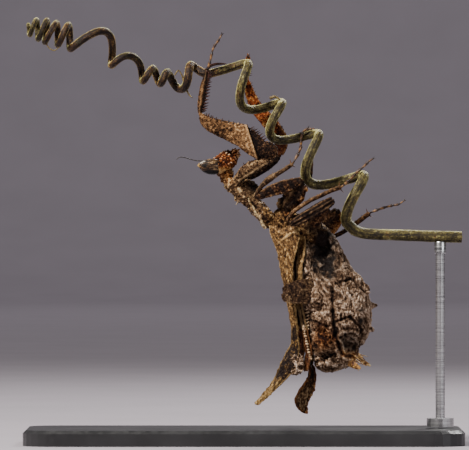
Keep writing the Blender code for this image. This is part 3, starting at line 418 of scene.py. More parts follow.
HIND_COXA_LEFT = [
    (13.4, 2.7, 42.1, 1.20, 0.80),
    (15.2, 3.5, 42.9, 1.20, 0.80),
    (16.8, 4.0, 43.9, 0.95, 0.65),
]
HIND_FEMUR_LEFT = [
    (18.2, 4.9, 44.3, 1.20, 0.65),
    (17.4, 5.6, 43.1, 1.65, 0.75),
    (16.6, 6.8, 41.7, 1.65, 0.75),
    (16.0, 7.8, 40.4, 1.25, 0.65),
    (15.7, 8.5, 39.4, 0.65, 0.48),
]
HIND_TIBIA_LEFT = [
    (16.3, 8.8, 39.0, 0.42, 0.40),
    (17.4, 8.3, 39.6, 0.46, 0.38),
    (19.5, 7.0, 40.7, 0.48, 0.40),
    (21.9, 5.6, 42.4, 0.52, 0.42),
    (24.0, 4.3, 44.0, 0.52, 0.42),
]
HIND_TARSUS_LEFT = [
    (24.5, 4.0, 44.3, 0.26, 0.26),
    (25.7, 3.9, 44.75, 0.32, 0.28),
    (27.1, 3.8, 45.2, 0.27, 0.26),
    (28.5, 3.7, 45.55, 0.28, 0.26),
    (29.7, 3.6, 45.8, 0.24, 0.24),
    (30.7, 3.5, 46.5, 0.12, 0.12),
]


def spline(rows, steps):
    """Passes a smooth curve through rows of equal length, with so many steps between two of them."""
    curve = []
    for index in range(len(rows) - 1):
        before = rows[max(index - 1, 0)]
        start, end = rows[index], rows[index + 1]
        after = rows[min(index + 2, len(rows) - 1)]
        for step in range(steps):
            t = step / steps
            row = []
            for a, b, c, d in zip(before, start, end, after):
                row.append(
                    b + 0.5 * t * (c - a + t * (2 * a - 5 * b + 4 * c - d + t * (3 * (b - c) + d - a)))
                )
            curve.append(tuple(row))
    curve.append(tuple(rows[-1]))
    return curve


def round_rows(rows):
    """Gives (x, y, z, radius) rows a depth as well."""
    return [(*row[:3], row[3], row[3]) for row in rows]


def ring_places(rows, carried):
    """Works out where each station's ring stands, as matrices that place a unit circle."""
    points = [Vector(row[:3]) for row in rows]
    places = []
    across = None
    for index, row in enumerate(rows):
        along = points[min(index + 1, len(points) - 1)] - points[max(index - 1, 0)]
        along.normalize()
        if carried:
            across = along.orthogonal() if across is None else across
            across = (across - along * across.dot(along)).normalized()
            depth = along.cross(across)
        else:
            depth = (DEPTH - along * along.dot(DEPTH)).normalized()
            across = along.cross(depth)
        place = Matrix.Identity(4)
        for column, way in enumerate((across * row[3], depth * row[4], along, points[index])):
            place.col[column][:3] = way
        places.append(place)
    return places


def sweep(rows, sides, carried=False, point=0.5):
    """Draws a ring along its stations by extruding it, and closes both ends with a low point."""
    bm = bmesh.new()
    along_of = bm.verts.layers.float.new("along")
    around_of = bm.verts.layers.float.new("around")
    places = ring_places(rows, carried)
    ring = bmesh.ops.create_circle(bm, segments=sides, radius=1.0)["verts"]
    for vert in ring:
        vert[around_of] = math.atan2(vert.co.y, vert.co.x) % math.tau
    bmesh.ops.transform(bm, matrix=places[0], verts=ring)
    edges = list(bm.edges)
    bmesh.ops.contextual_create(bm, geom=edges)
    for index in range(1, len(places)):
        made = bmesh.ops.extrude_edge_only(bm, edges=edges)["geom"]
        ring = [item for item in made if isinstance(item, bmesh.types.BMVert)]
        ring_set = set(ring)
        edges = [
            item
            for item in made
            if isinstance(item, bmesh.types.BMEdge) and ring_set.issuperset(item.verts)
        ]
        for vert in ring:
            vert[along_of] = index / (len(places) - 1)
        bmesh.ops.transform(bm, matrix=places[index] @ places[index - 1].inverted(), verts=ring)
    bmesh.ops.contextual_create(bm, geom=edges)
    caps = [face for face in bm.faces if len(face.verts) == sides]
    ends = bmesh.ops.poke(bm, faces=caps)["verts"]
    for vert in ends:
        first = (vert.co - places[0].translation).length < (vert.co - places[-1].translation).length
        index, inner = (0, 1) if first else (-1, -2)
        way = (places[index].translation - places[inner].translation).normalized()
        vert.co += way * point * min(rows[index][3:5])
        vert[along_of] = 0.0 if first else 1.0
    bmesh.ops.recalc_face_normals(bm, faces=bm.faces)
    return bm


def thorn(root, tip, radius, sides=7):
    """Makes one pointed spine, a cone with a blunt end."""
    bm = bmesh.new()
    root, tip = Vector(root), Vector(tip)
    way = tip - root
    place = Matrix.Translation((root + tip) / 2) @ way.to_track_quat("Z", "Y").to_matrix().to_4x4()
    bmesh.ops.create_cone(
        bm,
        cap_ends=True,
        segments=sides,
        radius1=radius,
        radius2=radius * 0.12,
        depth=way.length,
        matrix=place,
    )
    return bm


def bump(centre, size, turn=0.0, detail=3):
    """Makes an egg-shaped lump, turned about the depth axis."""
    bm = bmesh.new()
    place = Matrix.Translation(centre) @ Matrix.Rotation(math.radians(turn), 4, "Y")
    place = place @ Matrix.Diagonal((*size, 1.0))
    bmesh.ops.create_icosphere(bm, subdivisions=detail, radius=1.0, matrix=place)
    return bm


def lumps(rows, side=1.0):
    """Makes a lump for each row: x, y, z, three half sizes and the turn in degrees. Side -1 mirrors them."""
    return [bump((x, y * side, z), sizes[:3], sizes[3]) for x, y, z, *sizes in rows]


def placed(rows, side):
    """Puts a table written with depth away from the middle plane on one side of it."""
    return [(row[0], row[1] * side, *row[2:]) for row in rows]


def gathered(shells):
    """Puts several shells in one bmesh."""
    bm = bmesh.new()
    for shell in shells:
        mesh = bpy.data.meshes.new("shell")
        shell.to_mesh(mesh)
        shell.free()
        bm.from_mesh(mesh)
        bpy.data.meshes.remove(mesh)
    return bm


def skinned(shells, voxel, soften=2):
    """Melts shells into one closed skin of small even faces, and softens it."""
    bm = gathered(shells)
    mesh = bpy.data.meshes.new("skin")
    bm.to_mesh(mesh)
    bm.free()
    body = bpy.data.objects.new("skin", mesh)
    bpy.context.scene.collection.objects.link(body)
    melt = body.modifiers.new("melt", "REMESH")
    melt.mode = "VOXEL"
    melt.voxel_size = voxel
    graph = bpy.context.evaluated_depsgraph_get()
    result = bpy.data.meshes.new_from_object(body.evaluated_get(graph))
    bpy.data.objects.remove(body)
    bpy.data.meshes.remove(mesh)
    skin = bmesh.new()
    skin.from_mesh(result)
    bpy.data.meshes.remove(result)
    for _ in range(soften):
        bmesh.ops.smooth_vert(
            skin, verts=skin.verts, factor=0.5, use_axis_x=True, use_axis_y=True, use_axis_z=True
        )
    skin.normal_update()
    return skin


def raised(bm, field, strength):
    """Moves a skin along its normals by strength times field, and keeps field's value for the finish."""
    relief = bm.verts.layers.float.get("relief") or bm.verts.layers.float.new("relief")
    bm.normal_update()
    moves = [(vert, vert.normal.copy(), field(vert.co)) for vert in bm.verts]
    for vert, normal, value in moves:
        vert.co += normal * value * strength
        vert[relief] = value
    return bm


def painted(bm, name, field):
    """Keeps field's value at each vertex under a name that a finish reads."""
    layer = bm.verts.layers.float.get(name) or bm.verts.layers.float.new(name)
    for vert in bm.verts:
        vert[layer] = field(vert.co)
    return bm


def spotted(bm, name, spots):
    """Keeps round spots (x, z, radius, weight) under a name, from 0 to 1."""
    return painted(bm, name, lambda co: eased(dented(co, spots)))


def beads(co, size):
    """Gives round grains of about one size, from 0 between them to 1 on top."""
    return max(0.0, 1.0 - (noise.voronoi(co / size)[0][0] / 0.55) ** 2)


def crumple(co, size):
    """Gives sharp crumpled ridges, about -1 in the creases and 1 on the crests."""
    return max(-1.0, min(1.2, noise.ridged_multi_fractal(co / size, 1.0, 2.1, 4, 1.0, 2.0) - 1.15))


def eased(value):
    """Keeps a value between 0 and 1."""
    return min(1.0, max(0.0, value))


def ridged(value, place, width):
    """Gives a rounded ridge across a value: 1 at its place, and near 0 a width away."""
    return math.exp(-(((value - place) / width) ** 2))


def dented(co, spots):
    """Adds up round spots (x, z, radius, weight) seen from the side, weighed by distance."""
    total = 0.0
    for x, z, radius, weight in spots:
        total += weight * math.exp(-((co.x - x) ** 2 + (co.z - z) ** 2) / radius**2)
    return total


def scratched(co, lines):
    """Adds up narrow lines (x, z, x, z, width, weight) seen from the side."""
    total = 0.0
    here = Vector((co.x, co.z))
    for x0, z0, x1, z1, width, weight in lines:
        start, way = Vector((x0, z0)), Vector((x1 - x0, z1 - z0))
        t = eased((here - start).dot(way) / way.length_squared)
        total += weight * math.exp(-((here - start - way * t).length_squared) / width**2)
    return total


def finished(name, bm, looks, nodes=(), pick=None, crease=60.0):
    """Makes a piece of a bmesh in millimetres, hangs it on the root, and hides the model's parts that it stands
    in for.
    """
    if pick:
        bm.normal_update()
        for face in bm.faces:
            face.material_index = pick(face)
    for face in bm.faces:
        face.smooth = True
    bmesh.ops.scale(bm, vec=(MM, MM, MM), verts=bm.verts)
    mesh = bpy.data.meshes.new(name)
    bm.to_mesh(mesh)
    bm.free()
    for look in looks:
        mesh.materials.append(look)
    mesh.set_sharp_from_angle(angle=math.radians(crease))
    item = bpy.data.objects.new(name, mesh)
    bpy.context.scene.collection.objects.link(item)
    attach(item, "root")
    if nodes:
        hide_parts(*nodes)
    return item


# Finishes. A skin's tones run from its creases up to the crumbs on its ridges; the first tone is also its
# painted shade.
BARK = [
    (0.006, 0.003, 0.002), (0.034, 0.016, 0.008), (0.105, 0.058, 0.030),
    (0.29, 0.19, 0.12), (0.62, 0.48, 0.36),
]
GOLD = [
    (0.006, 0.002, 0.001), (0.034, 0.014, 0.004), (0.105, 0.050, 0.015),
    (0.23, 0.125, 0.042), (0.52, 0.35, 0.16),
]
BROWN = [
    (0.005, 0.002, 0.001), (0.024, 0.010, 0.004), (0.072, 0.035, 0.014),
    (0.19, 0.110, 0.050), (0.42, 0.29, 0.15),
]
UMBER = [
    (0.003, 0.001, 0.001), (0.013, 0.005, 0.002), (0.042, 0.017, 0.006),
    (0.12, 0.058, 0.022), (0.34, 0.22, 0.11),
]
RUST = [
    (0.008, 0.002, 0.001), (0.045, 0.012, 0.003), (0.15, 0.048, 0.010),
    (0.32, 0.13, 0.03), (0.58, 0.36, 0.14),
]
FACE = [
    (0.008, 0.002, 0.001), (0.060, 0.012, 0.002), (0.17, 0.040, 0.006),
    (0.34, 0.13, 0.03), (0.75, 0.62, 0.42),
]
CORAL = [
    (0.010, 0.002, 0.001), (0.065, 0.010, 0.003), (0.22, 0.045, 0.008),
    (0.36, 0.11, 0.02), (0.55, 0.32, 0.10),
]
LEAF_LOW = [
    (0.004, 0.001, 0.001), (0.012, 0.005, 0.002), (0.036, 0.017, 0.006),
    (0.17, 0.090, 0.024), (0.40, 0.26, 0.10),
]
STRAW = [
    (0.050, 0.024, 0.006), (0.11, 0.058, 0.016), (0.20, 0.115, 0.036),
    (0.33, 0.21, 0.080), (0.52, 0.38, 0.18),
]
TAN = [
    (0.006, 0.002, 0.001), (0.036, 0.015, 0.005), (0.115, 0.052, 0.018),
    (0.25, 0.13, 0.05), (0.50, 0.32, 0.16),
]
WINE = [
    (0.003, 0.001, 0.001), (0.014, 0.003, 0.001), (0.046, 0.011, 0.004),
    (0.13, 0.040, 0.012), (0.30, 0.14, 0.05),
]
MOSS = [
    (0.008, 0.005, 0.002), (0.032, 0.023, 0.006), (0.080, 0.061, 0.017),
    (0.180, 0.155, 0.045), (0.47, 0.44, 0.19),
]
MAROON = [
    (0.004, 0.001, 0.001), (0.016, 0.006, 0.002), (0.050, 0.022, 0.005),
    (0.16, 0.085, 0.020), (0.50, 0.36, 0.13),
]
EYE_BROWN = [
    (0.003, 0.001, 0.001), (0.014, 0.006, 0.002), (0.042, 0.020, 0.007),
    (0.12, 0.065, 0.026), (0.34, 0.22, 0.11),
]
# Where a skin's five tones stand on its ramp.
STEPS = (0.18, 0.36, 0.52, 0.70, 0.90)


class Finish:
    """A material with its node tree, and short calls for the nodes that a finish needs."""

    def __init__(self, name, roughness=0.6, metallic=0.0, specular=0.5):
        self.material = bpy.data.materials.new(name)
        self.material.use_nodes = True
        self.tree = self.material.node_tree
        self.shader = self.tree.nodes["Principled BSDF"]
        self.shader.inputs["Roughness"].default_value = roughness
        self.shader.inputs["Metallic"].default_value = metallic
        self.shader.inputs["Specular IOR Level"].default_value = specular
        self.place = self.tree.nodes.new("ShaderNodeTexCoord").outputs["Object"]

    def put(self, socket, value):
        if isinstance(value, bpy.types.NodeSocket):
            self.tree.links.new(value, socket)
        else:
            socket.default_value = value

    def attribute(self, name):
        node = self.tree.nodes.new("ShaderNodeAttribute")
        node.attribute_name = name
        return node.outputs["Fac"]

    def height(self):
        node = self.tree.nodes.new("ShaderNodeSeparateXYZ")
        self.put(node.inputs[0], self.place)
        return node.outputs["Z"]

    def stretched(self, scale, turn=(0.0, 0.0, 0.0), source=None):
        node = self.tree.nodes.new("ShaderNodeMapping")
        node.inputs["Scale"].default_value = scale
        node.inputs["Rotation"].default_value = [math.radians(angle) for angle in turn]
        self.put(node.inputs["Vector"], source or self.place)
        return node.outputs["Vector"]

    def cloud(self, scale, detail=4.0, rough=0.6, source=None, warp=0.0):
        node = self.tree.nodes.new("ShaderNodeTexNoise")
        node.inputs["Scale"].default_value = scale
        node.inputs["Detail"].default_value = detail
        node.inputs["Roughness"].default_value = rough
        node.inputs["Distortion"].default_value = warp
        self.put(node.inputs["Vector"], source or self.place)
        return node.outputs["Fac"]

    def span(self, value, low, high, to_low=0.0, to_high=1.0):
        node = self.tree.nodes.new("ShaderNodeMapRange")
        node.interpolation_type = "SMOOTHSTEP"
        for name, number in (("From Min", low), ("From Max", high), ("To Min", to_low), ("To Max", to_high)):
            node.inputs[name].default_value = number
        self.put(node.inputs["Value"], value)
        return node.outputs["Result"]

    def level(self, parts):
        """Adds up (value, its middle, weight) round one half."""
        total = 0.5 - sum(middle * weight for _, middle, weight in parts)
        for value, _, weight in parts:
            node = self.tree.nodes.new("ShaderNodeMath")
            node.operation = "MULTIPLY_ADD"
            for socket, part in zip(node.inputs, (value, weight, total)):
                self.put(socket, part)
            total = node.outputs[0]
        return total

    def mix(self, amount, a, b):
        node = self.tree.nodes.new("ShaderNodeMix")
        node.data_type = "RGBA"
        self.put(node.inputs["Factor"], amount)
        first, second = [socket for socket in node.inputs if socket.type == "RGBA"]
        self.put(first, a if isinstance(a, bpy.types.NodeSocket) else (*a, 1.0))
        self.put(second, b if isinstance(b, bpy.types.NodeSocket) else (*b, 1.0))
        return [socket for socket in node.outputs if socket.type == "RGBA"][0]

    def tones(self, value, colours, steps=STEPS):
        node = self.tree.nodes.new("ShaderNodeValToRGB")
        ramp = node.color_ramp
        while len(ramp.elements) < len(colours):
            ramp.elements.new(0.5)
        for element, position, colour in zip(ramp.elements, steps, colours):
            element.position = position
            element.color = (*colour, 1.0)
        self.put(node.inputs["Fac"], value)
        return node.outputs["Color"]

    def done(self, colour, roughness=None, heights=()):
        """Links the colour, the roughness and one bump for each (height, distance in millimetres)."""
        self.put(self.shader.inputs["Base Color"], colour)
        if roughness is not None:
            self.put(self.shader.inputs["Roughness"], roughness)
        normal = None
        for height, distance in heights:
            node = self.tree.nodes.new("ShaderNodeBump")
            node.inputs["Distance"].default_value = distance * MM
            self.put(node.inputs["Height"], height)
            if normal:
                self.put(node.inputs["Normal"], normal)
            normal = node.outputs["Normal"]
        if normal:
            self.put(self.shader.inputs["Normal"], normal)
        return self.material


def dry_skin(
    name, tones, rough=0.62, coarse=330.0, grain=1500.0,
    base=0.0, spread=1.0, stretch=(1.0, 1.0, 1.0), turn=0.0, ridge=0.33, pepper=1.0,
):
    """Gives skin like a dry leaf: blotches, grains and crumbs, with painted shade in the creases and paler
    ridges.
    """
    look = Finish(name, rough, 0.0, 0.14)
    place = look.stretched(stretch, (0.0, turn, 0.0))
    blotch = look.cloud(coarse, 4.0, 0.6, warp=0.5)
    mottle = look.cloud(grain, 5.0, 0.65, place, 0.3)
    speck = look.cloud(grain * 3.2, 3.0, 0.6, place)
    level = look.level([
        (blotch, 0.5, 0.9 * spread),
        (mottle, 0.5, 1.35 * pepper),
        (speck, 0.5, 0.9 * pepper),
        # Painted shade: the relief makes the skin darker in its creases and paler on its crests.
        (look.attribute("relief"), -base / ridge, ridge),
        (look.attribute("lift"), 0.0, 0.3),
    ])
    colour = look.mix(look.attribute("orange"), look.tones(level, tones), look.tones(level, RUST))
    # Painted shade: the shade attribute takes the skin to its darkest tone.
    colour = look.mix(look.attribute("shade"), colour, tones[0])
    colour = look.mix(look.attribute("rim"), colour, look.mix(mottle, tones[3], tones[4]))
    return look.done(colour, look.span(level, 0.2, 0.8, 0.95, rough - 0.1), [(mottle, 0.20), (speck, 0.09)])


# Heights in metres: where a wing's leather ends, and where its dark leaf begins and ends to turn paler.
WING_EDGE = 0.0225
WING_FADE = (0.0140, 0.0095)


def wing_leather(name, top, low, tip, end_height):
    """Gives a wing streaked leather above, dark mottled leaf below, and a third tone at its tip."""
    look = Finish(name, 0.6, 0.0, 0.15)
    blotch = look.cloud(380.0, 4.0, 0.6, warp=0.6)
    mottle = look.cloud(2300.0, 5.0, 0.68, look.stretched((1.0, 1.0, 0.7), (0.0, 28.0, 0.0)), 0.3)
    streak = look.cloud(1.0, 3.0, 0.6, look.stretched((2300.0, 2300.0, 700.0), (0.0, 34.0, 0.0)))
    speck = look.cloud(5200.0, 3.0, 0.6)
    height = look.height()
    level = look.level([
        (blotch, 0.5, 0.4),
        (mottle, 0.5, 1.6),
        (streak, 0.5, 0.5),
        (speck, 0.5, 1.0),
        (look.attribute("relief"), 0.10, 0.30),
    ])
    lower = look.level([(level, 0.68, 1.1), (look.span(height, *WING_FADE), 0.0, 0.34)])
    edge = look.level([(height, WING_EDGE, 400.0), (blotch, 0.5, 3.0)])
    colour = look.mix(look.span(edge, 0.9, 0.1), look.tones(level, top), look.tones(lower, low))
    end = look.level([(height, end_height, 400.0), (blotch, 0.5, 3.0)])
    colour = look.mix(look.span(end, 0.9, 0.1), colour, look.tones(level, tip))
    colour = look.mix(look.attribute("shade"), colour, low[0])
    colour = look.mix(look.attribute("rim"), colour, look.tones(level, tip))
    gloss = look.span(level, 0.2, 0.8, 0.75, 0.48)
    return look.done(colour, gloss, [(mottle, 0.17), (streak, 0.06), (speck, 0.06)])


def tendril_bark():
    """Gives the tendril fibres along it, yellow green to the right and red brown patches to the left, with
    painted highlights and shade carried in its relief and its brown patches.
    """
    look = Finish("tendril_bark", 0.55, 0.0, 0.28)
    uv = look.tree.nodes.new("ShaderNodeUVMap")
    uv.uv_map = "length"
    fibres = look.cloud(1.0, 4.0, 0.6, look.stretched((30.0, 1.3, 1.0), source=uv.outputs["UV"]))
    blotch = look.cloud(1.0, 4.0, 0.6, look.stretched((3.0, 0.55, 1.0), source=uv.outputs["UV"]))
    patch = look.cloud(300.0, 3.0, 0.55)
    speck = look.cloud(4200.0, 3.0, 0.7)
    level = look.level([
        (fibres, 0.5, 0.95),
        (speck, 0.5, 1.1),
        (patch, 0.5, 0.7),
        (look.attribute("relief"), 0.0, 0.30),
    ])
    brown = look.level([(patch, 0.5, 1.6), (blotch, 0.5, 2.0), (look.attribute("browning_and_shade"), 0.0, 1.0)])
    colour = look.mix(look.span(brown, 0.62, 1.02), look.tones(level, MOSS), look.tones(level, MAROON))
    return look.done(colour, look.span(level, 0.3, 0.7, 0.70, 0.48), [(fibres, 0.14), (speck, 0.05)])


def banded_leg(name, dark, middle, bright):
    """Gives a thin leg dark bands across it, broken up by mottles."""
    look = Finish(name, 0.5)
    mottle = look.cloud(2000.0, 4.0, 0.7)
    speck = look.cloud(7000.0, 3.0, 0.7)
    level = look.level([(look.attribute("bands"), 0.5, 0.6), (mottle, 0.5, 1.4), (speck, 0.5, 0.7)])
    colour = look.tones(level, (dark, middle, middle, bright), (0.24, 0.46, 0.62, 0.90))
    return look.done(colour, look.span(speck, 0.3, 0.7, 0.38, 0.65), [(mottle, 0.08), (speck, 0.04)])


def eye_glass():
    """Gives the eyes grey brown with dark grains in rows along them, under a wet gloss, with a painted highlight
    near the tip, painted light on top, and a dark point and painted shade below.
    """
    look = Finish("eye_glass", 0.5, 0.0, 0.22)
    look.shader.inputs["Coat Weight"].default_value = 0.05
    look.shader.inputs["Coat Roughness"].default_value = 0.15
    streak = look.cloud(1.0, 4.0, 0.6, look.stretched((450.0, 450.0, 2300.0), (0.0, 10.0, 0.0)))
    grain = look.cloud(3600.0, 4.0, 0.7)
    level = look.level([(streak, 0.5, 2.6), (grain, 0.5, 1.5), (look.attribute("lift"), 0.0, 0.06)])
    colour = look.mix(look.attribute("tip"), look.tones(level, EYE_BROWN), (0.36, 0.22, 0.06))
    # Painted highlight: where the rim is kept the eye takes a pale glint.
    glint = look.mix(grain, (0.30, 0.24, 0.16), (0.85, 0.80, 0.70))
    colour = look.mix(look.attribute("rim"), colour, glint)
    colour = look.mix(look.attribute("pupil"), colour, (0.003, 0.002, 0.002))
    return look.done(colour, look.span(level, 0.3, 0.7, 0.62, 0.38), [(streak, 0.10), (grain, 0.08)])


def spine_horn(name, dark, bright):
    """Gives spines dark horn with lighter flecks."""
    look = Finish(name, 0.5, 0.0, 0.25)
    colour = look.tones(look.cloud(2600.0, 3.0, 0.6), (dark, bright), (0.38, 0.66))
    return look.done(colour, None, [(look.cloud(7000.0, 2.0, 0.6), 0.02)])


def painted_base():
    """Gives the base satin black paint with a fine orange-peel skin."""
    look = Finish("painted_base", 0.38)
    blacks = ((0.016, 0.016, 0.017), (0.030, 0.030, 0.032))
    colour = look.tones(look.cloud(90.0, 3.0, 0.5), blacks, (0.4, 0.7))
    gloss = look.span(look.cloud(900.0, 3.0, 0.6), 0.3, 0.7, 0.30, 0.46)
    return look.done(colour, gloss, [(look.cloud(1600.0, 2.0, 0.5), 0.02)])


def turned_steel():
    """Gives the rod the fine rings that turning leaves."""
    look = Finish("turned_steel", 0.3, 1.0)
    rings = look.cloud(1.0, 3.0, 0.6, look.stretched((120.0, 120.0, 9000.0)))
    colour = look.tones(rings, ((0.42, 0.42, 0.43), (0.62, 0.62, 0.62)), (0.35, 0.65))
    return look.done(colour, look.span(rings, 0.3, 0.7, 0.24, 0.40), [(rings, 0.01)])


# The tendril.


def tendril_path():
    """Works out the tendril's route as (x, y, z, radius), from the stem's cut end to the coil's tip."""
    turning = []
    for row in TURNS:
        if row[0] is not None:
            turning.append((row[0], row[1], row[4], row[6], row[7]))
        if row[2] is not None:
            turning.append((row[2], row[3], row[5], row[6], row[8]))
    path = spline(STEM, 6)
    bend_start = Vector((STEM[-3][0], STEM[-3][2]))
    for index in range(len(turning) - 1):
        x0, z0, _, radius0, round0 = turning[index]
        x1, z1, _, radius1, round1 = turning[index + 1]
        before = Vector(turning[index - 1][:2]) if index else bend_start
        after = Vector(turning[min(index + 2, len(turning) - 1)][:2])
        start, end = Vector((x0, z0)), Vector((x1, z1))
        leave = (end - before) * round0
        arrive = (after - start) * round1
        sign = 1.0 if index % 2 else -1.0
        for step in range(TENDRIL_STEPS):
            t = step / TENDRIL_STEPS
            spot = (
                start * (2 * t**3 - 3 * t**2 + 1)
                + leave * (t**3 - 2 * t**2 + t)
                + end * (3 * t**2 - 2 * t**3)
                + arrive * (t**3 - t**2)
            )
            depth = strand_depth(turning, index, t) * math.sin(math.pi * t) * sign
            radius = radius0 + (radius1 - radius0) * t
            path.append((spot.x, depth + first_depth(index, t), spot.y, radius))
    last = turning[-1]
    path.append((last[0], 0.0, last[1], last[3]))
    return path


def strand_depth(turning, index, t):
    """Eases a strand's depth into its neighbours', so that the route turns smoothly in depth too."""
    here = turning[index][2]
    if t < 0.5:
        other = turning[index - 1][2] if index else here
        return other + (here - other) * (t + 0.5)
    other = turning[index + 1][2] if index + 1 < len(turning) - 1 else here
    return here + (other - here) * (t - 0.5)


def first_depth(index, t):
    """Carries the stem's last depth over into the first strand."""
    return STEM[-1][1] * (1.0 - t) ** 2 if index == 0 else 0.0


# Torn threads and a bract on the tendril: x, y, z, radius.
TENDRIL_SCRAPS = [
    [(-13.2, -1.6, 70.4, 0.16), (-12.5, -1.4, 71.3, 0.13), (-11.8, -1.2, 70.3, 0.13), (-11.5, -1.1, 69.4, 0.26)],
    [(-10.9, -0.6, 67.5, 0.20), (-10.4, -0.8, 66.6, 0.15), (-9.8, -1.0, 66.1, 0.07)],
    [(5.0, -0.3, 66.0, 0.30), (5.9, -0.6, 66.3, 0.26), (6.9, -0.8, 65.8, 0.10)],
    [(-37.8, -1.2, 76.6, 0.14), (-37.2, -1.3, 75.6, 0.11), (-36.2, -1.3, 75.1, 0.11), (-35.3, -1.2, 75.7, 0.07)],
]


def build_tendril():
    path = tendril_path()
    grooves, twist_per_mm, relief_depth = 5.0, 0.16, 0.075
    bm = sweep(round_rows(path), TENDRIL_SIDES, carried=True, point=0.15)
    along, around = bm.verts.layers.float["along"], bm.verts.layers.float["around"]
    relief = bm.verts.layers.float.new("relief")
    browning_and_shade = bm.verts.layers.float.new("browning_and_shade")
    lengths = [0.0]
    for here, there in zip(path, path[1:]):
        lengths.append(lengths[-1] + (Vector(there[:3]) - Vector(here[:3])).length)
    centres = [Vector(row[:3]) for row in path]
    for vert in bm.verts:
        index = round(vert[along] * (len(path) - 1))
        groove = -max(0.0, math.cos(vert[around] * grooves + lengths[index] * twist_per_mm)) ** 4
        out = (vert.co - centres[index]).normalized()
        value = 0.9 * groove + 0.6 * noise.fractal(vert.co * 1.1, 0.8, 2.0, 4)
        # Painted highlight: edge is a pale rim where the strand turns away from the view, stronger on its upper
        # side; the grooves in value are darker as painted shade.
        edge = (1.0 + 0.4 * out.z) * ridged(out.y, 0.0, 0.42)
        x = centres[index].x
        vert[relief] = value + 1.6 * edge - 0.45 + 0.30 * eased((x + 9.0) / 3.0)
        # The brown of the bark's patches, weaker on the painted highlight along the edges, and a maroon band at
        # x -8.4 that is partly the bark's colour and partly painted shade under the fore claw.
        brown = 0.62 * eased((2.0 - x) / 14.0) - 0.08 * eased(x / 20.0) - 0.5 * eased((-37.5 - x) / 2.0)
        vert[browning_and_shade] = brown + 0.8 * ridged(x, -8.4, 1.4) - 0.45 * edge
        vert.co += out * value * relief_depth
    uv = bm.loops.layers.uv.new("length")
    for face in bm.faces:
        wraps = any(loop.vert[around] > math.pi for loop in face.loops)
        for loop in face.loops:
            turn = loop.vert[around]
            turn = math.tau if wraps and turn < 0.1 else turn
            index = round(loop.vert[along] * (len(path) - 1))
            loop[uv].uv = (turn / math.tau, lengths[index])
    nodes = ("perch_stem", "perch_middle", "perch_bridge", "perch_coil")
    finished("tendril", bm, [tendril_bark()], nodes)
    scraps = [sweep(round_rows(spline(rows, 5)), 9, True) for rows in TENDRIL_SCRAPS]
    olive = spine_horn("scrap_olive", (0.040, 0.018, 0.006), (0.24, 0.18, 0.06))
    finished("tendril_scraps", gathered(scraps), [olive])


# The body.


# Lumps of the belly: x, y, z, then half sizes, then the turn in degrees.
BELLY_LUMPS = [
    (13.9, -1.0, 27.8, 2.8, 3.8, 3.6, 0.0),
    (14.6, -1.2, 23.6, 2.7, 3.5, 3.0, 0.0),
    (15.0, -1.1, 19.6, 2.6, 3.3, 3.4, -8.0),
    (15.9, -0.8, 15.9, 2.6, 2.4, 2.2, 0.0),
    (18.2, -0.8, 31.2, 2.4, 3.8, 3.6, -20.0),
    (20.5, -0.6, 26.6, 3.2, 3.7, 3.6, 0.0),
    (20.6, -0.6, 22.6, 3.0, 3.3, 2.6, 0.0),
    (20.0, -0.4, 19.6, 2.4, 2.9, 2.6, 20.0),
    (12.4, -0.6, 34.5, 1.5, 2.8, 4.5, 0.0),
    (17.1, -0.4, 37.2, 1.4, 2.8, 4.4, -25.0),
    (21.2, -0.2, 28.6, 1.8, 1.4, 2.6, -10.0),
]
# A stepped flap on the belly's upper side.
BELLY_STEP = [
    (20.6, -1.0, 29.7, 1.8, 0.55),
    (22.0, -1.3, 29.55, 1.7, 0.42),
    (23.2, -1.4, 29.2, 1.4, 0.34),
    (23.9, -1.3, 28.9, 0.8, 0.26),
]
# Hollows seen from the side: x, z, radius, depth.
BELLY_DENTS = [
    (15.0, 38.2, 1.8, 1.3), (15.0, 35.8, 2.0, 1.7), (15.6, 33.2, 1.6, 1.2), (19.9, 19.2, 1.5, 1.5),
]
# Folds seen from the side: x, z, x, z, width, weight.
BELLY_FOLDS = [
    (16.8, 30.0, 16.9, 25.4, 0.34, -0.9),
    (16.9, 25.4, 17.4, 20.6, 0.34, -1.1),
    (17.4, 20.6, 19.0, 17.2, 0.30, -1.0),
    (11.2, 29.5, 13.0, 26.0, 0.26, -0.5),
    (17.6, 23.4, 20.2, 24.4, 0.24, -0.8),
    (20.2, 24.4, 22.6, 21.8, 0.26, -1.0),
    (12.0, 23.9, 16.0, 22.4, 0.26, -0.7),
    (17.4, 30.6, 20.4, 31.6, 0.24, -0.7),
    (20.4, 31.6, 23.0, 29.0, 0.24, -0.6),
    (17.9, 20.6, 19.2, 17.4, 0.26, 0.9),
    (13.6, 15.6, 17.4, 17.2, 0.30, -0.8),
]
# Spots seen from the side: x, z, radius, weight. The shade spots are painted shade in the belly's hollows, its
# cup and its gaps; the orange and pale spots shift its tone.
BELLY_SHADE = [
    (15.0, 39.0, 2.6, 1.1), (15.2, 36.0, 2.3, 1.1), (16.0, 33.0, 1.9, 1.0), (13.2, 34.4, 1.0, 0.5),
    (19.9, 19.2, 2.5, 0.85), (12.0, 24.0, 0.9, 1.1), (11.8, 21.6, 0.9, 1.0), (22.4, 25.6, 0.6, 0.6),
    (15.6, 17.2, 1.0, 0.5), (22.3, 23.4, 0.8, 0.8), (13.4, 33.0, 1.0, 0.5),
]
BELLY_ORANGE = [
    (15.2, 19.8, 1.9, 1.0), (14.8, 22.0, 1.2, 0.5), (17.3, 20.4, 0.6, 1.0), (18.1, 18.9, 0.6, 1.0),
    (18.9, 17.3, 0.7, 1.0), (20.9, 16.8, 1.2, 1.0),
]
BELLY_PALE = [
    (14.4, 15.2, 1.3, 0.3), (17.2, 15.0, 1.0, 0.2), (14.6, 27.6, 2.0, -0.25), (20.6, 27.0, 2.6, 0.35),
    (15.3, 20.0, 2.4, -0.5),
]


# The middle of the belly's cup: x, z.
BELLY_CUP = (20.1, 18.9)


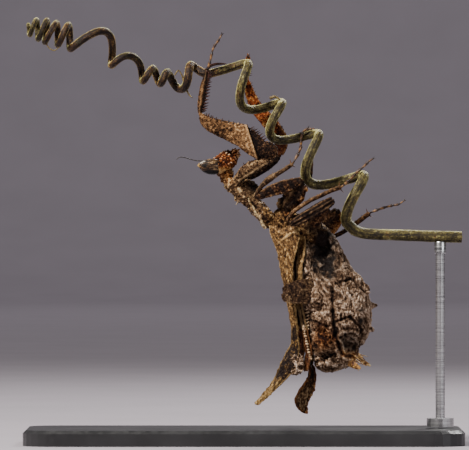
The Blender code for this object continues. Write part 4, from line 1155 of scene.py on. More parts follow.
def belly_relief(co):
    """Crumples the belly like bark: slanting ridges, small pits, long folds, and rings round its cup."""
    torn = co + noise.noise_vector(co * 0.45) * 0.9
    slant = Vector((torn.x * 1.3 + torn.z * 0.75, torn.y * 1.3, torn.x * 0.35 - torn.z * 0.61))
    pit = max(0.0, 0.25 - noise.voronoi(co * 0.75)[0][0]) * 4.0
    cup = math.hypot(co.x - BELLY_CUP[0], co.z - BELLY_CUP[1])
    rings = 0.3 * math.sin(cup * 5.2) * eased((4.2 - cup) / 1.2) * eased(cup - 1.0)
    grain = 0.5 * crumple(slant, 2.0) + 0.55 * crumple(slant, 0.8)
    grain += 0.25 * noise.fractal(co * 2.4, 0.75, 2.0, 4)
    return grain - pit + rings + scratched(co, BELLY_FOLDS)


# The flat lobe over the right wing: lower edge x, y, z; upper edge x, y, z.
BELLY_LOBE = [
    (14.8, -3.2, 26.6, 14.4, -3.0, 31.0),
    (12.6, -4.3, 26.9, 12.2, -4.0, 31.5),
    (10.6, -4.8, 26.9, 10.6, -4.6, 31.4),
    (9.2, -4.9, 27.0, 8.9, -4.7, 30.9),
    (7.8, -4.9, 27.2, 8.0, -4.7, 30.5),
    (7.4, -4.8, 28.6, 7.3, -4.7, 29.7),
]


def build_abdomen(bark, umber):
    shells = [sweep(spline(ABDOMEN, 3), 36)]
    for row in BELLY_LUMPS:
        shells += lumps([row], 1.0) + lumps([row], -1.0)
    for lobe in ABDOMEN_LOBES:
        shells.append(sweep(spline(lobe, 4), 14))
    shells.append(sweep(spline(BELLY_STEP, 4), 16))
    bm = skinned(shells, voxel=0.115)
    for vert in bm.verts:
        side = max(-1.0, min(1.0, vert.co.y / 2.0))
        vert.co.y -= dented(vert.co, BELLY_DENTS) * side
    raised(bm, belly_relief, strength=0.34)
    # Painted shade in the belly's hollows, cup and gaps, with ragged edges.
    painted(bm, "shade", lambda co: eased(dented(co, BELLY_SHADE) * (1.0 + 0.9 * noise.noise(co * 1.3))))
    spotted(bm, "orange", BELLY_ORANGE)
    painted(bm, "lift", lambda co: dented(co, BELLY_PALE))
    finished("abdomen_skin", bm, [bark], ("abdomen",))
    lobe = wing_sheet(BELLY_LOBE, across=30, steps=8, curl=-0.04, sink=0.0, rolled=0.0)
    painted(lobe, "shade", lambda co: 0.48)
    finished("abdomen_lobe_leaf", lobe, [umber])


# Bristles round the cerci: root x, y, z; tip x, y, z.
CERCUS_BRISTLES = [
    (20.0, -0.9, 16.2, 20.9, -1.2, 14.6),
    (20.6, -1.1, 15.6, 22.0, -1.5, 13.9),
    (21.2, -0.8, 16.0, 23.3, -1.0, 14.9),
    (21.8, 0.6, 16.6, 24.2, 0.9, 15.2),
    (20.9, 0.5, 15.8, 22.2, 0.9, 14.2),
    (21.6, 1.0, 17.2, 23.8, 1.2, 16.6),
    (20.4, -1.4, 17.4, 22.4, -2.0, 15.8),
    (19.4, -1.2, 17.0, 20.6, -1.8, 15.0),
]


def build_cerci():
    orange = banded_leg("rust_orange", (0.10, 0.030, 0.004), (0.46, 0.22, 0.045), (0.85, 0.62, 0.28))
    for name, rows in (("left", CERCUS_LEFT), ("right", placed(CERCUS_RIGHT, -1.0))):
        shells = [sweep(spline(rows, 4), 20)]
        for x, y, z, width, depth in rows:
            sizes = (width * 1.15, depth * 1.15, width * 0.9)
            shells.append(bump((x - 0.3, y, z + 0.2), sizes, turn=30.0, detail=2))
        bm = skinned(shells, voxel=0.06, soften=1)
        raised(bm, lambda co: noise.fractal(co * 3.0, 0.8, 2.0, 3), strength=0.14)
        painted(bm, "bands", lambda co: 0.5 + 1.2 * noise.noise(co * 1.7))
        finished(f"cercus_{name}_skin", bm, [orange], (f"cercus_{name}",))
    bristles = [thorn(row[:3], row[3:], radius=0.2) for row in CERCUS_BRISTLES]
    horn = spine_horn("bristle_horn", (0.16, 0.05, 0.010), (0.60, 0.38, 0.14))
    finished("cerci_bristles", gathered(bristles), [horn])


# The prothorax's flange: x, depth away from the middle plane, z, radius.
FLANGE = [
    (0.9, 1.8, 46.9, 0.12),
    (1.1, 1.6, 46.0, 0.16),
    (1.9, 1.5, 45.0, 0.14),
    (2.3, 1.4, 43.9, 0.20),
    (3.2, 1.3, 42.9, 0.17),
    (3.5, 1.1, 42.0, 0.24),
    (4.1, 0.9, 41.2, 0.22),
]
# Creases seen from the side: x, z, x, z, width, weight.
TRUNK_LINES = [
    (8.6, 44.5, 9.7, 43.3, 0.22, -1.3),
    (6.3, 42.6, 9.3, 40.2, 0.20, 0.5),
    (9.2, 43.2, 13.4, 44.6, 0.22, -0.8),
    (5.6, 44.2, 6.9, 41.0, 0.18, -0.5),
    (0.9, 46.9, 4.6, 42.4, 0.24, -1.0),
    (-2.4, 50.6, 0.9, 46.6, 0.22, 0.15),
]
# Spots seen from the side: x, z, radius, weight. The shade spots are painted shade in the gaps at the coxae's
# roots, under the legs and where thorax and abdomen meet.
TRUNK_SHADE = [
    (1.6, 49.2, 1.3, 0.9), (2.9, 48.0, 1.2, 0.8), (13.0, 41.6, 1.9, 0.9), (15.5, 39.0, 1.8, 0.9),
    (14.9, 38.2, 1.6, 1.0), (4.0, 43.4, 0.5, 0.7),
]
TRUNK_ORANGE = [(8.2, 44.0, 0.45, 1.0), (-3.4, 51.2, 1.4, 1.0)]
TRUNK_PALE = [(-3.0, 51.0, 1.2, 0.2)]
# Lumps of the trunk's middle, then those on each side: x, y, z, then half sizes, then the turn in degrees.
TRUNK_LUMPS = [
    (5.0, 0.0, 42.7, 1.7, 1.8, 1.6, 0.0),
    (-4.4, 0.0, 52.1, 1.0, 1.0, 1.2, 0.0),
    (14.8, 0.0, 39.3, 2.2, 2.4, 2.0, 0.0),
    (-1.0, 0.0, 46.9, 0.9, 1.3, 0.8, 45.0),
    (1.4, 0.0, 48.9, 2.0, 1.3, 1.3, 40.0),
    (-3.3, 0.0, 51.7, 1.4, 1.1, 1.2, 0.0),
]
TRUNK_SIDE_LUMPS = [
    (-1.4, 1.0, 49.7, 1.2, 0.9, 1.3, 0.0),
    (8.0, 2.3, 43.0, 2.6, 1.2, 2.2, 20.0),
    (13.4, 2.3, 42.2, 1.5, 1.0, 1.5, 0.0),
]
# Warts and teeth stand on the neck's outer side. The gold skin ends, and the brown one begins, at this x.
NECK_OUT = Vector((-0.72, 0.0, -0.69))
BROWN_END_X = 3.6


def trunk_relief(co):
    """Gives the trunk small warts and creases, and a few long lines."""
    grain = 0.5 * crumple(co, 1.0) + 0.5 * noise.fractal(co * 2.4, 0.8, 2.0, 3)
    return grain + 0.8 * beads(co, 0.75) - 0.35 + scratched(co, TRUNK_LINES)


def build_trunk(gold, brown):
    neck = spline(PROTHORAX, 4)
    shells = [sweep(neck, 24), sweep(spline(THORAX, 4), 28)]
    shells += lumps(TRUNK_LUMPS)
    for side in BOTH_SIDES:
        shells += lumps(TRUNK_SIDE_LUMPS, side)
    for row in neck[1:]:
        for _ in range(3):
            way = (NECK_OUT + DEPTH * random.uniform(-1.4, 1.4)).normalized()
            size = random.uniform(0.22, 0.45)
            shells.append(bump(Vector(row[:3]) + way * row[3] * 0.98, (size, size, size), detail=2))
    bm = skinned(shells, voxel=0.085)
    raised(bm, trunk_relief, strength=0.15)
    # Painted shade in the gaps between the parts and under the legs.
    spotted(bm, "shade", TRUNK_SHADE)
    spotted(bm, "orange", TRUNK_ORANGE)
    painted(bm, "lift", lambda co: dented(co, TRUNK_PALE))

    def pick(face):
        return int(face.calc_center_median().x < BROWN_END_X)

    finished("trunk_skin", bm, [gold, brown], ("prothorax", "thorax"), pick)
    teeth = [thorn((-0.9, -0.5, 46.7), (-1.5, -0.7, 45.6), 0.26)]
    for row in neck[4::6]:
        for side in (0.6, -0.6):
            way = (NECK_OUT + DEPTH * (side + random.uniform(-0.3, 0.3))).normalized()
            base = Vector(row[:3]) + way * (row[3] * 0.9)
            teeth.append(thorn(base, base + way * random.uniform(0.5, 0.75), 0.24))
    for side in BOTH_SIDES:
        rows = []
        for index, (x, y, z, radius) in enumerate(spline(FLANGE, 6)):
            scallop = 1.0 + 0.3 * math.cos(index * math.tau / 4.0)
            rows.append((x, y * side, z, radius * scallop, radius * 1.6))
        teeth.append(sweep(rows, 10, True))
    pale = spine_horn("trunk_teeth", (0.17, 0.095, 0.035), (0.62, 0.48, 0.26))
    finished("trunk_teeth", gathered(teeth), [pale])


# Lumps of the head's middle, then those on each side: x, y, z, then half sizes, then the turn in degrees.
HEAD_LUMPS = [
    (-3.6, 0.0, 54.9, 1.6, 1.0, 1.05, -35.0),
    (-1.7, 0.0, 55.5, 0.8, 0.8, 1.0, -40.0),
    (-4.9, 0.0, 54.3, 0.8, 1.2, 0.7, 0.0),
]
HEAD_SIDE_LUMPS = [
    (-1.5, 0.75, 55.7, 0.4, 0.3, 0.75, -30.0),
    (-2.4, 0.9, 54.4, 0.8, 0.6, 1.1, -20.0),
    (-3.8, 1.1, 53.6, 1.3, 0.8, 1.4, -35.0),
    (-4.75, 1.45, 53.0, 0.75, 0.95, 1.45, -12.0),
    (-5.9, 0.34, 53.5, 0.42, 0.36, 0.42, 0.0),
]
# Dark spots on the head seen from the side: x, z, radius, weight.
HEAD_SHADE = [(-5.3, 51.9, 0.8, 0.8), (-5.2, 53.2, 0.9, 0.55), (-1.9, 53.4, 0.4, 0.4)]


def head_relief(co):
    """Gives the face coarse shining grains, and a smoother neck."""
    rough = eased((co.z - 52.6) / 0.8)
    return rough * (1.5 * beads(co, 0.62) - 0.6) + 0.4 * noise.fractal(co * 3.2, 0.8, 2.0, 3)


# Mouthparts: x, depth away from the middle plane, z, radius.
PALPS = [
    [(-1.6, 0.6, 55.4, 0.22), (-1.1, 0.8, 56.1, 0.20), (-0.75, 0.7, 56.3, 0.09)],
    [(-2.2, 0.7, 55.6, 0.20), (-1.75, 1.0, 56.2, 0.18), (-1.55, 0.9, 56.5, 0.08)],
    [(-1.4, 0.9, 54.9, 0.20), (-0.9, 1.0, 55.3, 0.17), (-0.6, 0.9, 55.1, 0.08)],
]
# A painted highlight on top of each eye's tip, seen from the side: x, z, x, z, width, weight.
EYE_GLINT = [(-8.3, 53.65, -7.5, 54.0, 0.10, 1.1)]
# The dark point of each eye: x, depth away from the middle plane, z.
EYE_PUPIL = (-7.4, 2.9, 53.1)


def build_head():
    shells = [sweep(spline(HEAD, 4), 28)]
    shells += lumps(HEAD_LUMPS)
    for side in BOTH_SIDES:
        shells += lumps(HEAD_SIDE_LUMPS, side)
    bm = skinned(shells, voxel=0.055)
    raised(bm, head_relief, strength=0.13)
    spotted(bm, "shade", HEAD_SHADE)
    painted(bm, "orange", lambda co: eased((53.3 - co.z) / 0.6))
    # The neck below the head is paler: its orange colour, lifted further as painted light where the head shades
    # it.
    painted(bm, "lift", lambda co: 1.2 * eased((53.0 - co.z) / 0.6))
    face = dry_skin("face_skin", FACE, 0.38, 500.0, 1300.0)
    finished("head_skin", bm, [face], ("head",))
    palps = []
    for side in BOTH_SIDES:
        for rows in PALPS:
            palps.append(sweep(round_rows(spline(placed(rows, side), 4)), 10, True))
    horn = spine_horn("palp_horn", (0.13, 0.035, 0.008), (0.5, 0.28, 0.11))
    finished("palps", gathered(palps), [horn])
    glass = eye_glass()
    feeler = banded_leg("feeler_horn", (0.012, 0.009, 0.008), (0.040, 0.032, 0.028), (0.10, 0.08, 0.07))
    for name, side in (("left", 1.0), ("right", -1.0)):
        bm = sweep(spline(placed(EYE, side), 6), 40)
        pupil = Vector((EYE_PUPIL[0], EYE_PUPIL[1] * side, EYE_PUPIL[2]))

        # The dark point of the eye, and painted shade along its underside.
        def pupil_and_underside_shade(co):
            under = eased((52.35 - co.z) / 0.3)
            return eased(1.6 * ridged((co - pupil).length, 0.0, 0.42) + under)

        painted(bm, "tip", lambda co: eased((-8.4 - co.x) / 0.25))
        # Painted highlight: a thin glint on top of the tip, on the eye's outer side.
        painted(bm, "rim", lambda co: eased(scratched(co, EYE_GLINT)) * eased((co.y * side - 2.2) / 0.3))
        # Painted light and shade: the eye is paler on top and darker below.
        painted(bm, "lift", lambda co: eased((co.z - 53.2) / 0.8) - 0.35)
        painted(bm, "pupil", pupil_and_underside_shade)
        finished(f"eye_{name}_glass", bm, [glass], (f"eye_{name}",))
        curve = spline(placed(ANTENNA, side), 8)
        thinning = (ANTENNA_ROOT - ANTENNA_TIP) / len(curve)
        rows = [(*row, ANTENNA_ROOT - thinning * index) for index, row in enumerate(curve)]
        bm = sweep(round_rows(rows), 10, True)
        painted(bm, "bands", lambda co: 0.5 + 0.4 * math.sin(co.x * 9.0))
        finished(f"antenna_{name}_feeler", bm, [feeler], (f"antenna_{name}",))


# The legs.


def leg_map(parts):
    """Prepares a leg's stations for leg_place: one row a length of leg."""
    lengths = []
    for part, rows in enumerate(parts):
        for low in range(len(rows) - 1):
            start = Vector(rows[low][:3])
            way = Vector(rows[low + 1][:3]) - start
            width, gain = rows[low][3], rows[low + 1][3] - rows[low][3]
            place, step = low / (len(rows) - 1), 1.0 / (len(rows) - 1)
            across = way.cross(DEPTH).normalized()
            lengths.append((part, start, way, way.length_squared, across, width, gain, place, step))
    return lengths


def leg_place(co, lengths):
    """Finds which part of a leg a point lies on, how far along (0 to 1) and how far across (-1 to 1)."""
    best, found = 1e9, None
    for part, start, way, square, across, width, gain, place, step in lengths:
        away = co - start
        t = eased(away.dot(way) / square)
        away -= way * t
        size = width + gain * t
        score = away.length_squared / size**2
        if score < best:
            best, found = score, (part, place + step * t, away.dot(across) / size)
    return found


def spine_line(rows, start, end, count, direction, length, radius, lean=0.3, jitter=0.25):
    """Sets spines on the side of a leg that faces direction."""
    made = []
    direction = Vector(direction).normalized()
    for index in range(count):
        t = start + (end - start) * index / max(count - 1, 1)
        place = t * (len(rows) - 1)
        low = min(int(place), len(rows) - 2)
        row = [a + (b - a) * (place - low) for a, b in zip(rows[low], rows[low + 1])]
        reach = length * (1.0 - jitter + 2.0 * jitter * random.random())
        centre = Vector(row[:3])
        along = (Vector(rows[low + 1][:3]) - Vector(rows[low][:3])).normalized()
        outward = (direction - along * direction.dot(along)).normalized()
        level = abs(outward.y)
        surface = row[3] * (1.0 - level) + row[4] * level
        root = centre + outward * (surface - 0.12)
        made.append(thorn(root, centre + outward * (surface + reach) + along * reach * lean, radius))
    return made


def tarsus_rows(rows, joints):
    """Swells a foot at the end of each of its segments, and thins it between them."""
    curve = spline(rows, 8)
    made = []
    for index, row in enumerate(curve):
        place = index / (len(curve) - 1) * joints
        swell = 0.74 + 0.56 * (place % 1.0) ** 3
        made.append((*row[:3], row[3] * swell, row[4] * swell))
    return made


# The next functions tell what a leg looks like at a point: how far it is raised in millimetres, then how
# dark, how pale and how orange.


def behind_plate(co):
    """Tells how far a point lies behind the end edge of the near femur's plate."""
    return (co.x - 0.64) * 0.946 + (co.z - 60.4) * 0.323


def fore_right_marks(co, part, t, u):
    """Darkens the near coxa's lower face with painted shade under a ridge line painted as a highlight, ends the
    near femur's plate in a pale step over a dark root that is partly painted shade, and splits the tibia in two
    tones, with painted shade at its end.
    """
    if part == 0:
        # The coxa's lower face is painted shade, and the ridge line above it a painted highlight.
        return (0.12 * ridged(u, -0.7, 0.2), eased((-u - 0.88) / 0.1), 0.75 * ridged(u, -0.66, 0.16), 0.0)
    if part == 1:
        behind = behind_plate(co)
        near_side = eased(-co.y - 2.6)
        step = 0.28 * math.exp(behind / 2.5) if behind < 0.0 else -0.25 * math.exp(-behind / 1.5)
        return (step * near_side, 0.0, 0.85 * ridged(behind, -0.2, 0.16) * near_side, 0.0)
    # The tibia's far half is dark maroon; its end where it passes over the tendril is painted shade.
    dark = max(0.92 * eased(0.3 - u * 4.0), 0.9 * eased((co.z - 69.1) / 0.5))
    return (-0.10 * eased(-u * 3.0), dark, 0.3 * ridged(u, 0.35, 0.12), 0.1)


def fore_left_marks(co, part, t, u):
    """Darkens the far coxa with painted shade, spots the far femur's inner face, and leaves its root dark."""
    # The far coxa is painted shade.
    if part == 0:
        return (0.0, 0.5, 0.0, 0.0)
    root = eased((co.x + 0.6 * (60.0 - co.z) - 6.0) / 0.8) if part == 1 else 0.0
    spots = eased(beads(co + Vector((3.0, 0.0, 0.0)), 1.3) * 3.0 - 2.1)
    dark = max(root * 0.8, spots * 0.8)
    return (0.12 * ridged(abs(u), 0.8, 0.15), dark, 0.35 * ridged(u, -0.85, 0.12), 0.0)


def mid_marks(co, part, t, u):
    """Gives the middle legs lobed orange-edged coxae, cross bands on the femur, and a pale rim."""
    if part == 0:
        lobes = 0.25 * ridged(abs(u), 0.8, 0.25) * math.sin(t * 22.0)
        return (lobes, 0.75 * ridged(u, 0.0, 0.45), 0.7 * ridged(u, 0.8, 0.18), eased(-u * 2.0 - 0.8))
    if part == 1:
        dark = 0.85 * eased(math.sin(t * 34.0 + u) * 2.0) * eased(1.7 - abs(u) * 1.2)
        return (0.16 * ridged(abs(u), 0.85, 0.15), dark, 0.3 * ridged(u, -0.9, 0.12), 0.12)
    return (0.05 * ridged(u, 0.0, 0.3), 0.3, 0.25 * ridged(u, 0.7, 0.2), 0.1)


def hind_marks(co, part, t, u):
    """Gives the hind femora light ridges along them, with painted shade darkening the grooves between."""
    if part != 1:
        return (0.05 * ridged(u, 0.0, 0.3), 0.3 * ridged(u, -0.8, 0.3), 0.2 * ridged(u, 0.7, 0.2), 0.15)
    lines = ridged(u, -0.72, 0.15) + ridged(u, -0.1, 0.15) + ridged(u, 0.6, 0.15)
    pale = 0.3 * lines * eased(0.4 + noise.noise(co * 1.2) * 2.0)
    # Painted shade: the grooves between the ridges are darkened.
    return (0.16 * lines - 0.12, eased(0.82 - 0.9 * lines), pale, 0.0)


def hind_left_marks(co, part, t, u):
    """Gives the far hind femur a reddish face with an orange lower rim."""
    if part != 1:
        return hind_marks(co, part, t, u)
    return (0.15 * ridged(abs(u), 0.8, 0.2), 0.3 * ridged(u, -0.2, 0.4), 0.0, eased(u * 1.5))


# A walking leg's tibia has this much of its stations' width.
SHIN = 0.92
# The smallest half width of a joint between two parts of a leg.
JOINT = 0.26


def leg_shells(parts, toes):
    """Sweeps the parts of a leg, and fills the gaps between them and the foot."""
    shells = [sweep(rows, 24) for rows in parts]
    for first, second in zip(parts, parts[1:] + [toes]):
        end, start = Vector(first[-1][:3]), Vector(second[0][:3])
        size = min(max(first[-1][3], JOINT), max(second[0][3], JOINT)) * 0.85
        middle = (end + start) / 2
        shells.append(bump(middle, (size, size * 0.9, size), detail=2))
        shells.append(sweep([(*spot, size * 0.8, size * 0.8) for spot in (end, middle, start)], 10, True))
    return shells


def leg_relief(bm, lengths, marks):
    """Raises a leg's skin by its grain and its marks, and keeps both for the finish."""
    layers = [bm.verts.layers.float.new(layer) for layer in ("shade", "rim", "orange", "relief")]
    bm.normal_update()
    moves = []
    for vert in bm.verts:
        co = vert.co
        place = leg_place(co, lengths)
        height, *values = marks(co, *place)
        grain = 0.4 * crumple(co, 0.9) + 0.45 * noise.fractal(co * 2.8, 0.8, 2.0, 3)
        grain += 0.6 * beads(co, 0.6) - 0.3
        for layer, value in zip(layers, (*values, grain + 3.0 * height)):
            vert[layer] = value
        vert.normal_update()
        slim = 1.0 if place[0] < 2 else 0.6
        moves.append((vert, vert.normal * (grain * 0.10 * slim + height)))
    for vert, move in moves:
        vert.co += move


def build_foot(name, toes, table, look, joints):
    """Makes a leg's foot with its two hooks."""
    foot = [sweep(toes, 14, True)]
    end = Vector(toes[-1][:3])
    along = (end - Vector(toes[-3][:3])).normalized()
    aside = along.orthogonal().normalized()
    for sign in BOTH_SIDES:
        hook = []
        for ahead, out, radius in ((-0.2, 0.0, 0.10), (0.15, 0.14, 0.08), (0.3, 0.34, 0.03)):
            hook.append((*(end + along * ahead + aside * out * sign), radius))
        foot.append(sweep(round_rows(spline(hook, 3)), 8, True))
    bm = gathered(foot)
    steps = leg_map([table])
    painted(bm, "bands", lambda co: 0.5 - 0.5 * math.cos(leg_place(co, steps)[1] * joints * math.tau))
    finished(f"{name}_foot", bm, [look], (f"{name}_tarsus",))


def build_leg(name, tables, looks, marks, spines, claw=None, joints=5):
    """Makes one leg: a skin for coxa, femur and tibia, a foot, and its spines."""
    side = -1.0 if name.endswith("right") else 1.0
    tables = [placed(table, side) for table in tables]
    parts = [spline(table, 4) for table in tables[:3]]
    toes = tarsus_rows(tables[3], joints)
    if not claw:
        parts[2] = [(*row[:3], row[3] * SHIN, row[4] * SHIN) for row in parts[2]]
    bm = skinned(leg_shells(parts, toes), voxel=0.075)
    lengths = leg_map(tables[:3])
    leg_relief(bm, lengths, marks)

    # Behind the near femur's plate the skin takes the dark umber finish: the trochanter's dark brown, deepened
    # as painted shade.
    def pick(face):
        middle = face.calc_center_median()
        part = leg_place(middle, lengths)[0]
        return 3 if marks is fore_right_marks and part == 1 and behind_plate(middle) > 0.0 else part

    nodes = tuple(f"{name}_{part}" for part in ("coxa", "femur", "tibia"))
    finished(f"{name}_skin", bm, looks[:3] + looks[5:], nodes, pick)
    build_foot(name, toes, tables[3], looks[3], joints)
    thorns = []
    for part, *settings in spines:
        thorns += spine_line(parts[part], *settings)
    if claw:
        thorns.append(sweep(round_rows(spline(placed(claw, side), 5)), 14, True))
    finished(f"{name}_spines", gathered(thorns), [looks[4]])


# Rows of spines: part of the leg, start, end, count, direction, length, radius, and lean.
FORE_RIGHT_SPINES = [
    (1, 0.42, 0.93, 13, (0.25, -0.2, 1.0), 0.48, 0.25, 0.2),
    (1, 0.26, 0.44, 7, (0.55, 0.15, 1.0), 0.75, 0.20, -0.4),
    (1, 0.30, 0.52, 5, (0.45, 0.4, 1.0), 1.00, 0.18, 0.3),
    (2, 0.05, 0.86, 16, (1.0, -0.1, 0.35), 0.66, 0.27, 0.4),
    (2, 0.10, 0.80, 12, (1.0, 0.6, 0.35), 0.50, 0.20, 0.3),
    (0, 0.50, 0.78, 3, (-0.4, -0.3, 1.0), 0.45, 0.16, 0.0),
]
FORE_LEFT_SPINES = [
    (1, 0.30, 0.92, 15, (0.7, 0.2, 0.7), 0.40, 0.12, 0.3),
    (1, 0.25, 0.66, 9, (0.7, -0.4, 0.7), 0.60, 0.13, 0.3),
    (2, 0.12, 0.75, 9, (1.0, 0.0, 0.35), 0.55, 0.11, 0.3),
]
WALKING_SPINES = [
    (2, 0.98, 0.99, 1, (-0.5, 0.0, 1.0), 0.6, 0.13, 0.5),
    (2, 0.98, 0.99, 1, (0.5, 0.0, -1.0), 0.6, 0.13, 0.5),
    (2, 0.2, 0.85, 6, (-0.5, 0.0, 1.0), 0.18, 0.09, 0.5),
    (1, 0.2, 0.9, 7, (0.3, -0.4, -1.0), 0.14, 0.10, 0.0),
]


def build_legs():
    tan = dry_skin("coxa_tan", BROWN, 0.6, 450.0, 1700.0, 0.06)
    coral = dry_skin("inner_femur_coral", CORAL, 0.5, 420.0, 1500.0)
    umber = dry_skin("leg_umber", UMBER, 0.55, 400.0, 1900.0, 0.0, 0.6)
    brown = dry_skin("leg_brown", BROWN, 0.6, 400.0, 1600.0)
    foot = banded_leg("foot_bands", (0.008, 0.002, 0.001), (0.066, 0.025, 0.007), (0.27, 0.13, 0.038))
    horn = spine_horn("dark_horn", (0.020, 0.006, 0.003), (0.15, 0.055, 0.018))
    red_horn = spine_horn("red_horn", (0.006, 0.002, 0.001), (0.045, 0.011, 0.005))
    fore_right = (FORE_COXA_RIGHT, FORE_FEMUR_RIGHT, FORE_TIBIA_RIGHT, FORE_TARSUS_RIGHT)
    fore_left = (FORE_COXA_LEFT, FORE_FEMUR_LEFT, FORE_TIBIA_LEFT, FORE_TARSUS_LEFT)
    plate = dry_skin("femur_tan", TAN, 0.6, 380.0, 2200.0, -0.02, 0.6)
    near = [tan, plate, plate, foot, red_horn, umber]
    far = [umber, coral, coral, foot, horn]
    build_leg("foreleg_right", fore_right, near, fore_right_marks, FORE_RIGHT_SPINES, FORE_CLAW_RIGHT)
    build_leg("foreleg_left", fore_left, far, fore_left_marks, FORE_LEFT_SPINES, FORE_CLAW_LEFT)
    mid_right = (MID_COXA_RIGHT, MID_FEMUR_RIGHT, MID_TIBIA_RIGHT, MID_TARSUS_RIGHT)
    mid_left = (MID_COXA_LEFT, MID_FEMUR_LEFT, MID_TIBIA_LEFT, MID_TARSUS_LEFT)
    hind_right = (HIND_COXA_RIGHT, HIND_FEMUR_RIGHT, HIND_TIBIA_RIGHT, HIND_TARSUS_RIGHT)
    hind_left = (HIND_COXA_LEFT, HIND_FEMUR_LEFT, HIND_TIBIA_LEFT, HIND_TARSUS_LEFT)
    walking = (
        ("midleg_right", mid_right, brown, mid_marks),
        ("midleg_left", mid_left, umber, mid_marks),
        ("hindleg_right", hind_right, brown, hind_marks),
        ("hindleg_left", hind_left, umber, hind_left_marks),
    )
    for name, tables, tibia, marks in walking:
        build_leg(name, tables, [umber, umber, tibia, foot, horn], marks, WALKING_SPINES)


# The wings.


def leaf_veins(t, u):
    """Gives the height of a midrib, slanting side veins and a rolled edge."""
    midrib = max(0.0, 1.0 - abs(u - 0.55) / 0.05)
    slant = (t * 15.0 - u * 2.2) % 1.0
    branch = 0.8 * max(0.0, 1.0 - min(slant, 1.0 - slant) / 0.13)
    edge = 0.9 * max(0.0, 1.0 - min(u, 1.0 - u) / 0.07)
    return max(midrib, branch, edge)


# A bright vein slanting over the upper wing, seen from the side: x, z, x, z, width, weight.
WING_LINE = [(6.3, 38.1, 9.0, 40.2, 0.11, 0.7), (9.0, 40.2, 10.4, 40.8, 0.11, 0.7)]


def wing_sheet(rows, across, steps, curl, sink=0.0, rolled=0.5, thickness=0.34):
    """Bends a flat grid through rows of left and right edges, raises its veins, and gives it thickness."""
    bm = bmesh.new()
    curve = spline(rows, steps)
    long = len(curve) - 1
    bmesh.ops.create_grid(bm, x_segments=across, y_segments=long, size=0.5)
    relief, rim = bm.verts.layers.float.new("relief"), bm.verts.layers.float.new("rim")
    for vert in bm.verts:
        u = vert.co.x + 0.5
        index = min(max(round((vert.co.y + 0.5) * long), 0), long)
        t = index / long
        left, right = Vector(curve[index][:3]), Vector(curve[index][3:])
        width = (right - left).length
        spot = left.lerp(right, u)
        side = -1.0 if spot.y < 0.0 else 1.0
        inset = min(1.0, 4.0 * min(u, 1.0 - u) + 0.35)
        wave = 0.30 * noise.noise(Vector((t * 9.0, u * 2.0, rows[0][2]))) * inset
        grain = noise.fractal(spot * 2.4, 0.8, 2.0, 3)
        height = leaf_veins(t, u) * (0.75 + 0.35 * noise.noise(spot)) * eased(width / 4.5) + 0.6 * grain
        height += 1.6 * scratched(spot, WING_LINE)
        spot.y += math.sin(math.pi * u) * curl * width + wave + side * 0.13 * height
        spot.y *= 1.0 - sink * max(0.0, 1.0 - t / 0.12)
        nibble = 0.28 * noise.noise(Vector((t * 30.0, 5.0 if u > 0.5 else 1.0, 0.0)))
        spot += (right - left).normalized() * nibble * min(1.0, width / 2.0) * abs(2.0 * u - 1.0) ** 3
        vert.co = spot
        vert[relief] = height
        vert[rim] = rolled * eased(1.5 - min(u, 1.0 - u) * width / 0.25)
    bmesh.ops.recalc_face_normals(bm, faces=bm.faces)
    bmesh.ops.solidify(bm, geom=bm.faces, thickness=thickness)
    return bm


# Painted shade in the black hollow between the near wings: x, z, radius, weight.
CAVITY = [(11.3, 25.6, 1.1, 1.5), (11.3, 24.0, 1.1, 1.5), (11.6, 22.2, 1.0, 1.5)]


# Crumbs on the near wing's low edge: x, y, z, then half sizes, then the turn in degrees.
WING_CRUMBS = [(10.2, -2.3, 15.5, 1.3, 0.7, 2.1, -8.0), (9.7, -2.2, 13.9, 0.9, 0.6, 0.8, 0.0)]
# The row of pale dots down the near hindwing: x, y, z.
DOT_ROW = [(11.35, -2.9, 22.6), (11.9, -2.8, 19.6), (12.7, -2.5, 16.3)]


def wing_pick(side, low, lean):
    """Gives a wing its third finish below a height, and above it the second, a dark umber as painted shade, on
    faces that turn inwards.
    """

    def pick(face):
        if face.calc_center_median().z < low:
            return 2
        return int(face.normal.y * side < lean)

    return pick


def wing_table(rows, side):
    """Puts a wing's rows on one side of the middle plane."""
    return [(a, b * side, c, d, e * side, f) for a, b, c, d, e, f in rows]


def build_wings(gold, umber):
    leather = wing_leather("wing_leather", GOLD, LEAF_LOW, STRAW, 0.0112)
    wine = dry_skin("wing_wine", WINE, 0.6, 400.0, 1800.0)
    # The far forewing's lower part is dark umber as painted shade, with a rust rim.
    far_leather = wing_leather("far_wing_leather", UMBER, UMBER, RUST, -0.010)
    far_base = FOREWING_LEFT[9][2]
    pairs = (
        ("right", -1.0, FOREWING_RIGHT, HINDWING_RIGHT, leather, 0.5, 0.0),
        ("left", 1.0, FOREWING_LEFT, HINDWING_LEFT, far_leather, 0.95, far_base),
    )
    for name, side, fore, hind, tip, rolled, low in pairs:
        curl = 0.12 * side
        bm = wing_sheet(wing_table(fore, side), across=60, steps=14, curl=curl, sink=0.5, rolled=rolled)
        # Painted shade in the hollow between the near wings.
        painted(bm, "shade", lambda co: 0.8 * eased(dented(co, CAVITY)))
        looks, nodes = [leather, umber, tip], (f"forewing_{name}",)
        finished(f"forewing_{name}_leaf", bm, looks, nodes, wing_pick(side, low, -0.2))
        bm = wing_sheet(wing_table(hind, side), across=24, steps=14, curl=curl, sink=0.5)
        # Painted shade in the hollow between the near wings.
        spotted(bm, "shade", CAVITY)
        looks, nodes = [gold, umber, wine], (f"hindwing_{name}",)
        finished(f"hindwing_{name}_leaf", bm, looks, nodes, wing_pick(side, 22.0, 0.0))
    build_crumb()
    build_dots()


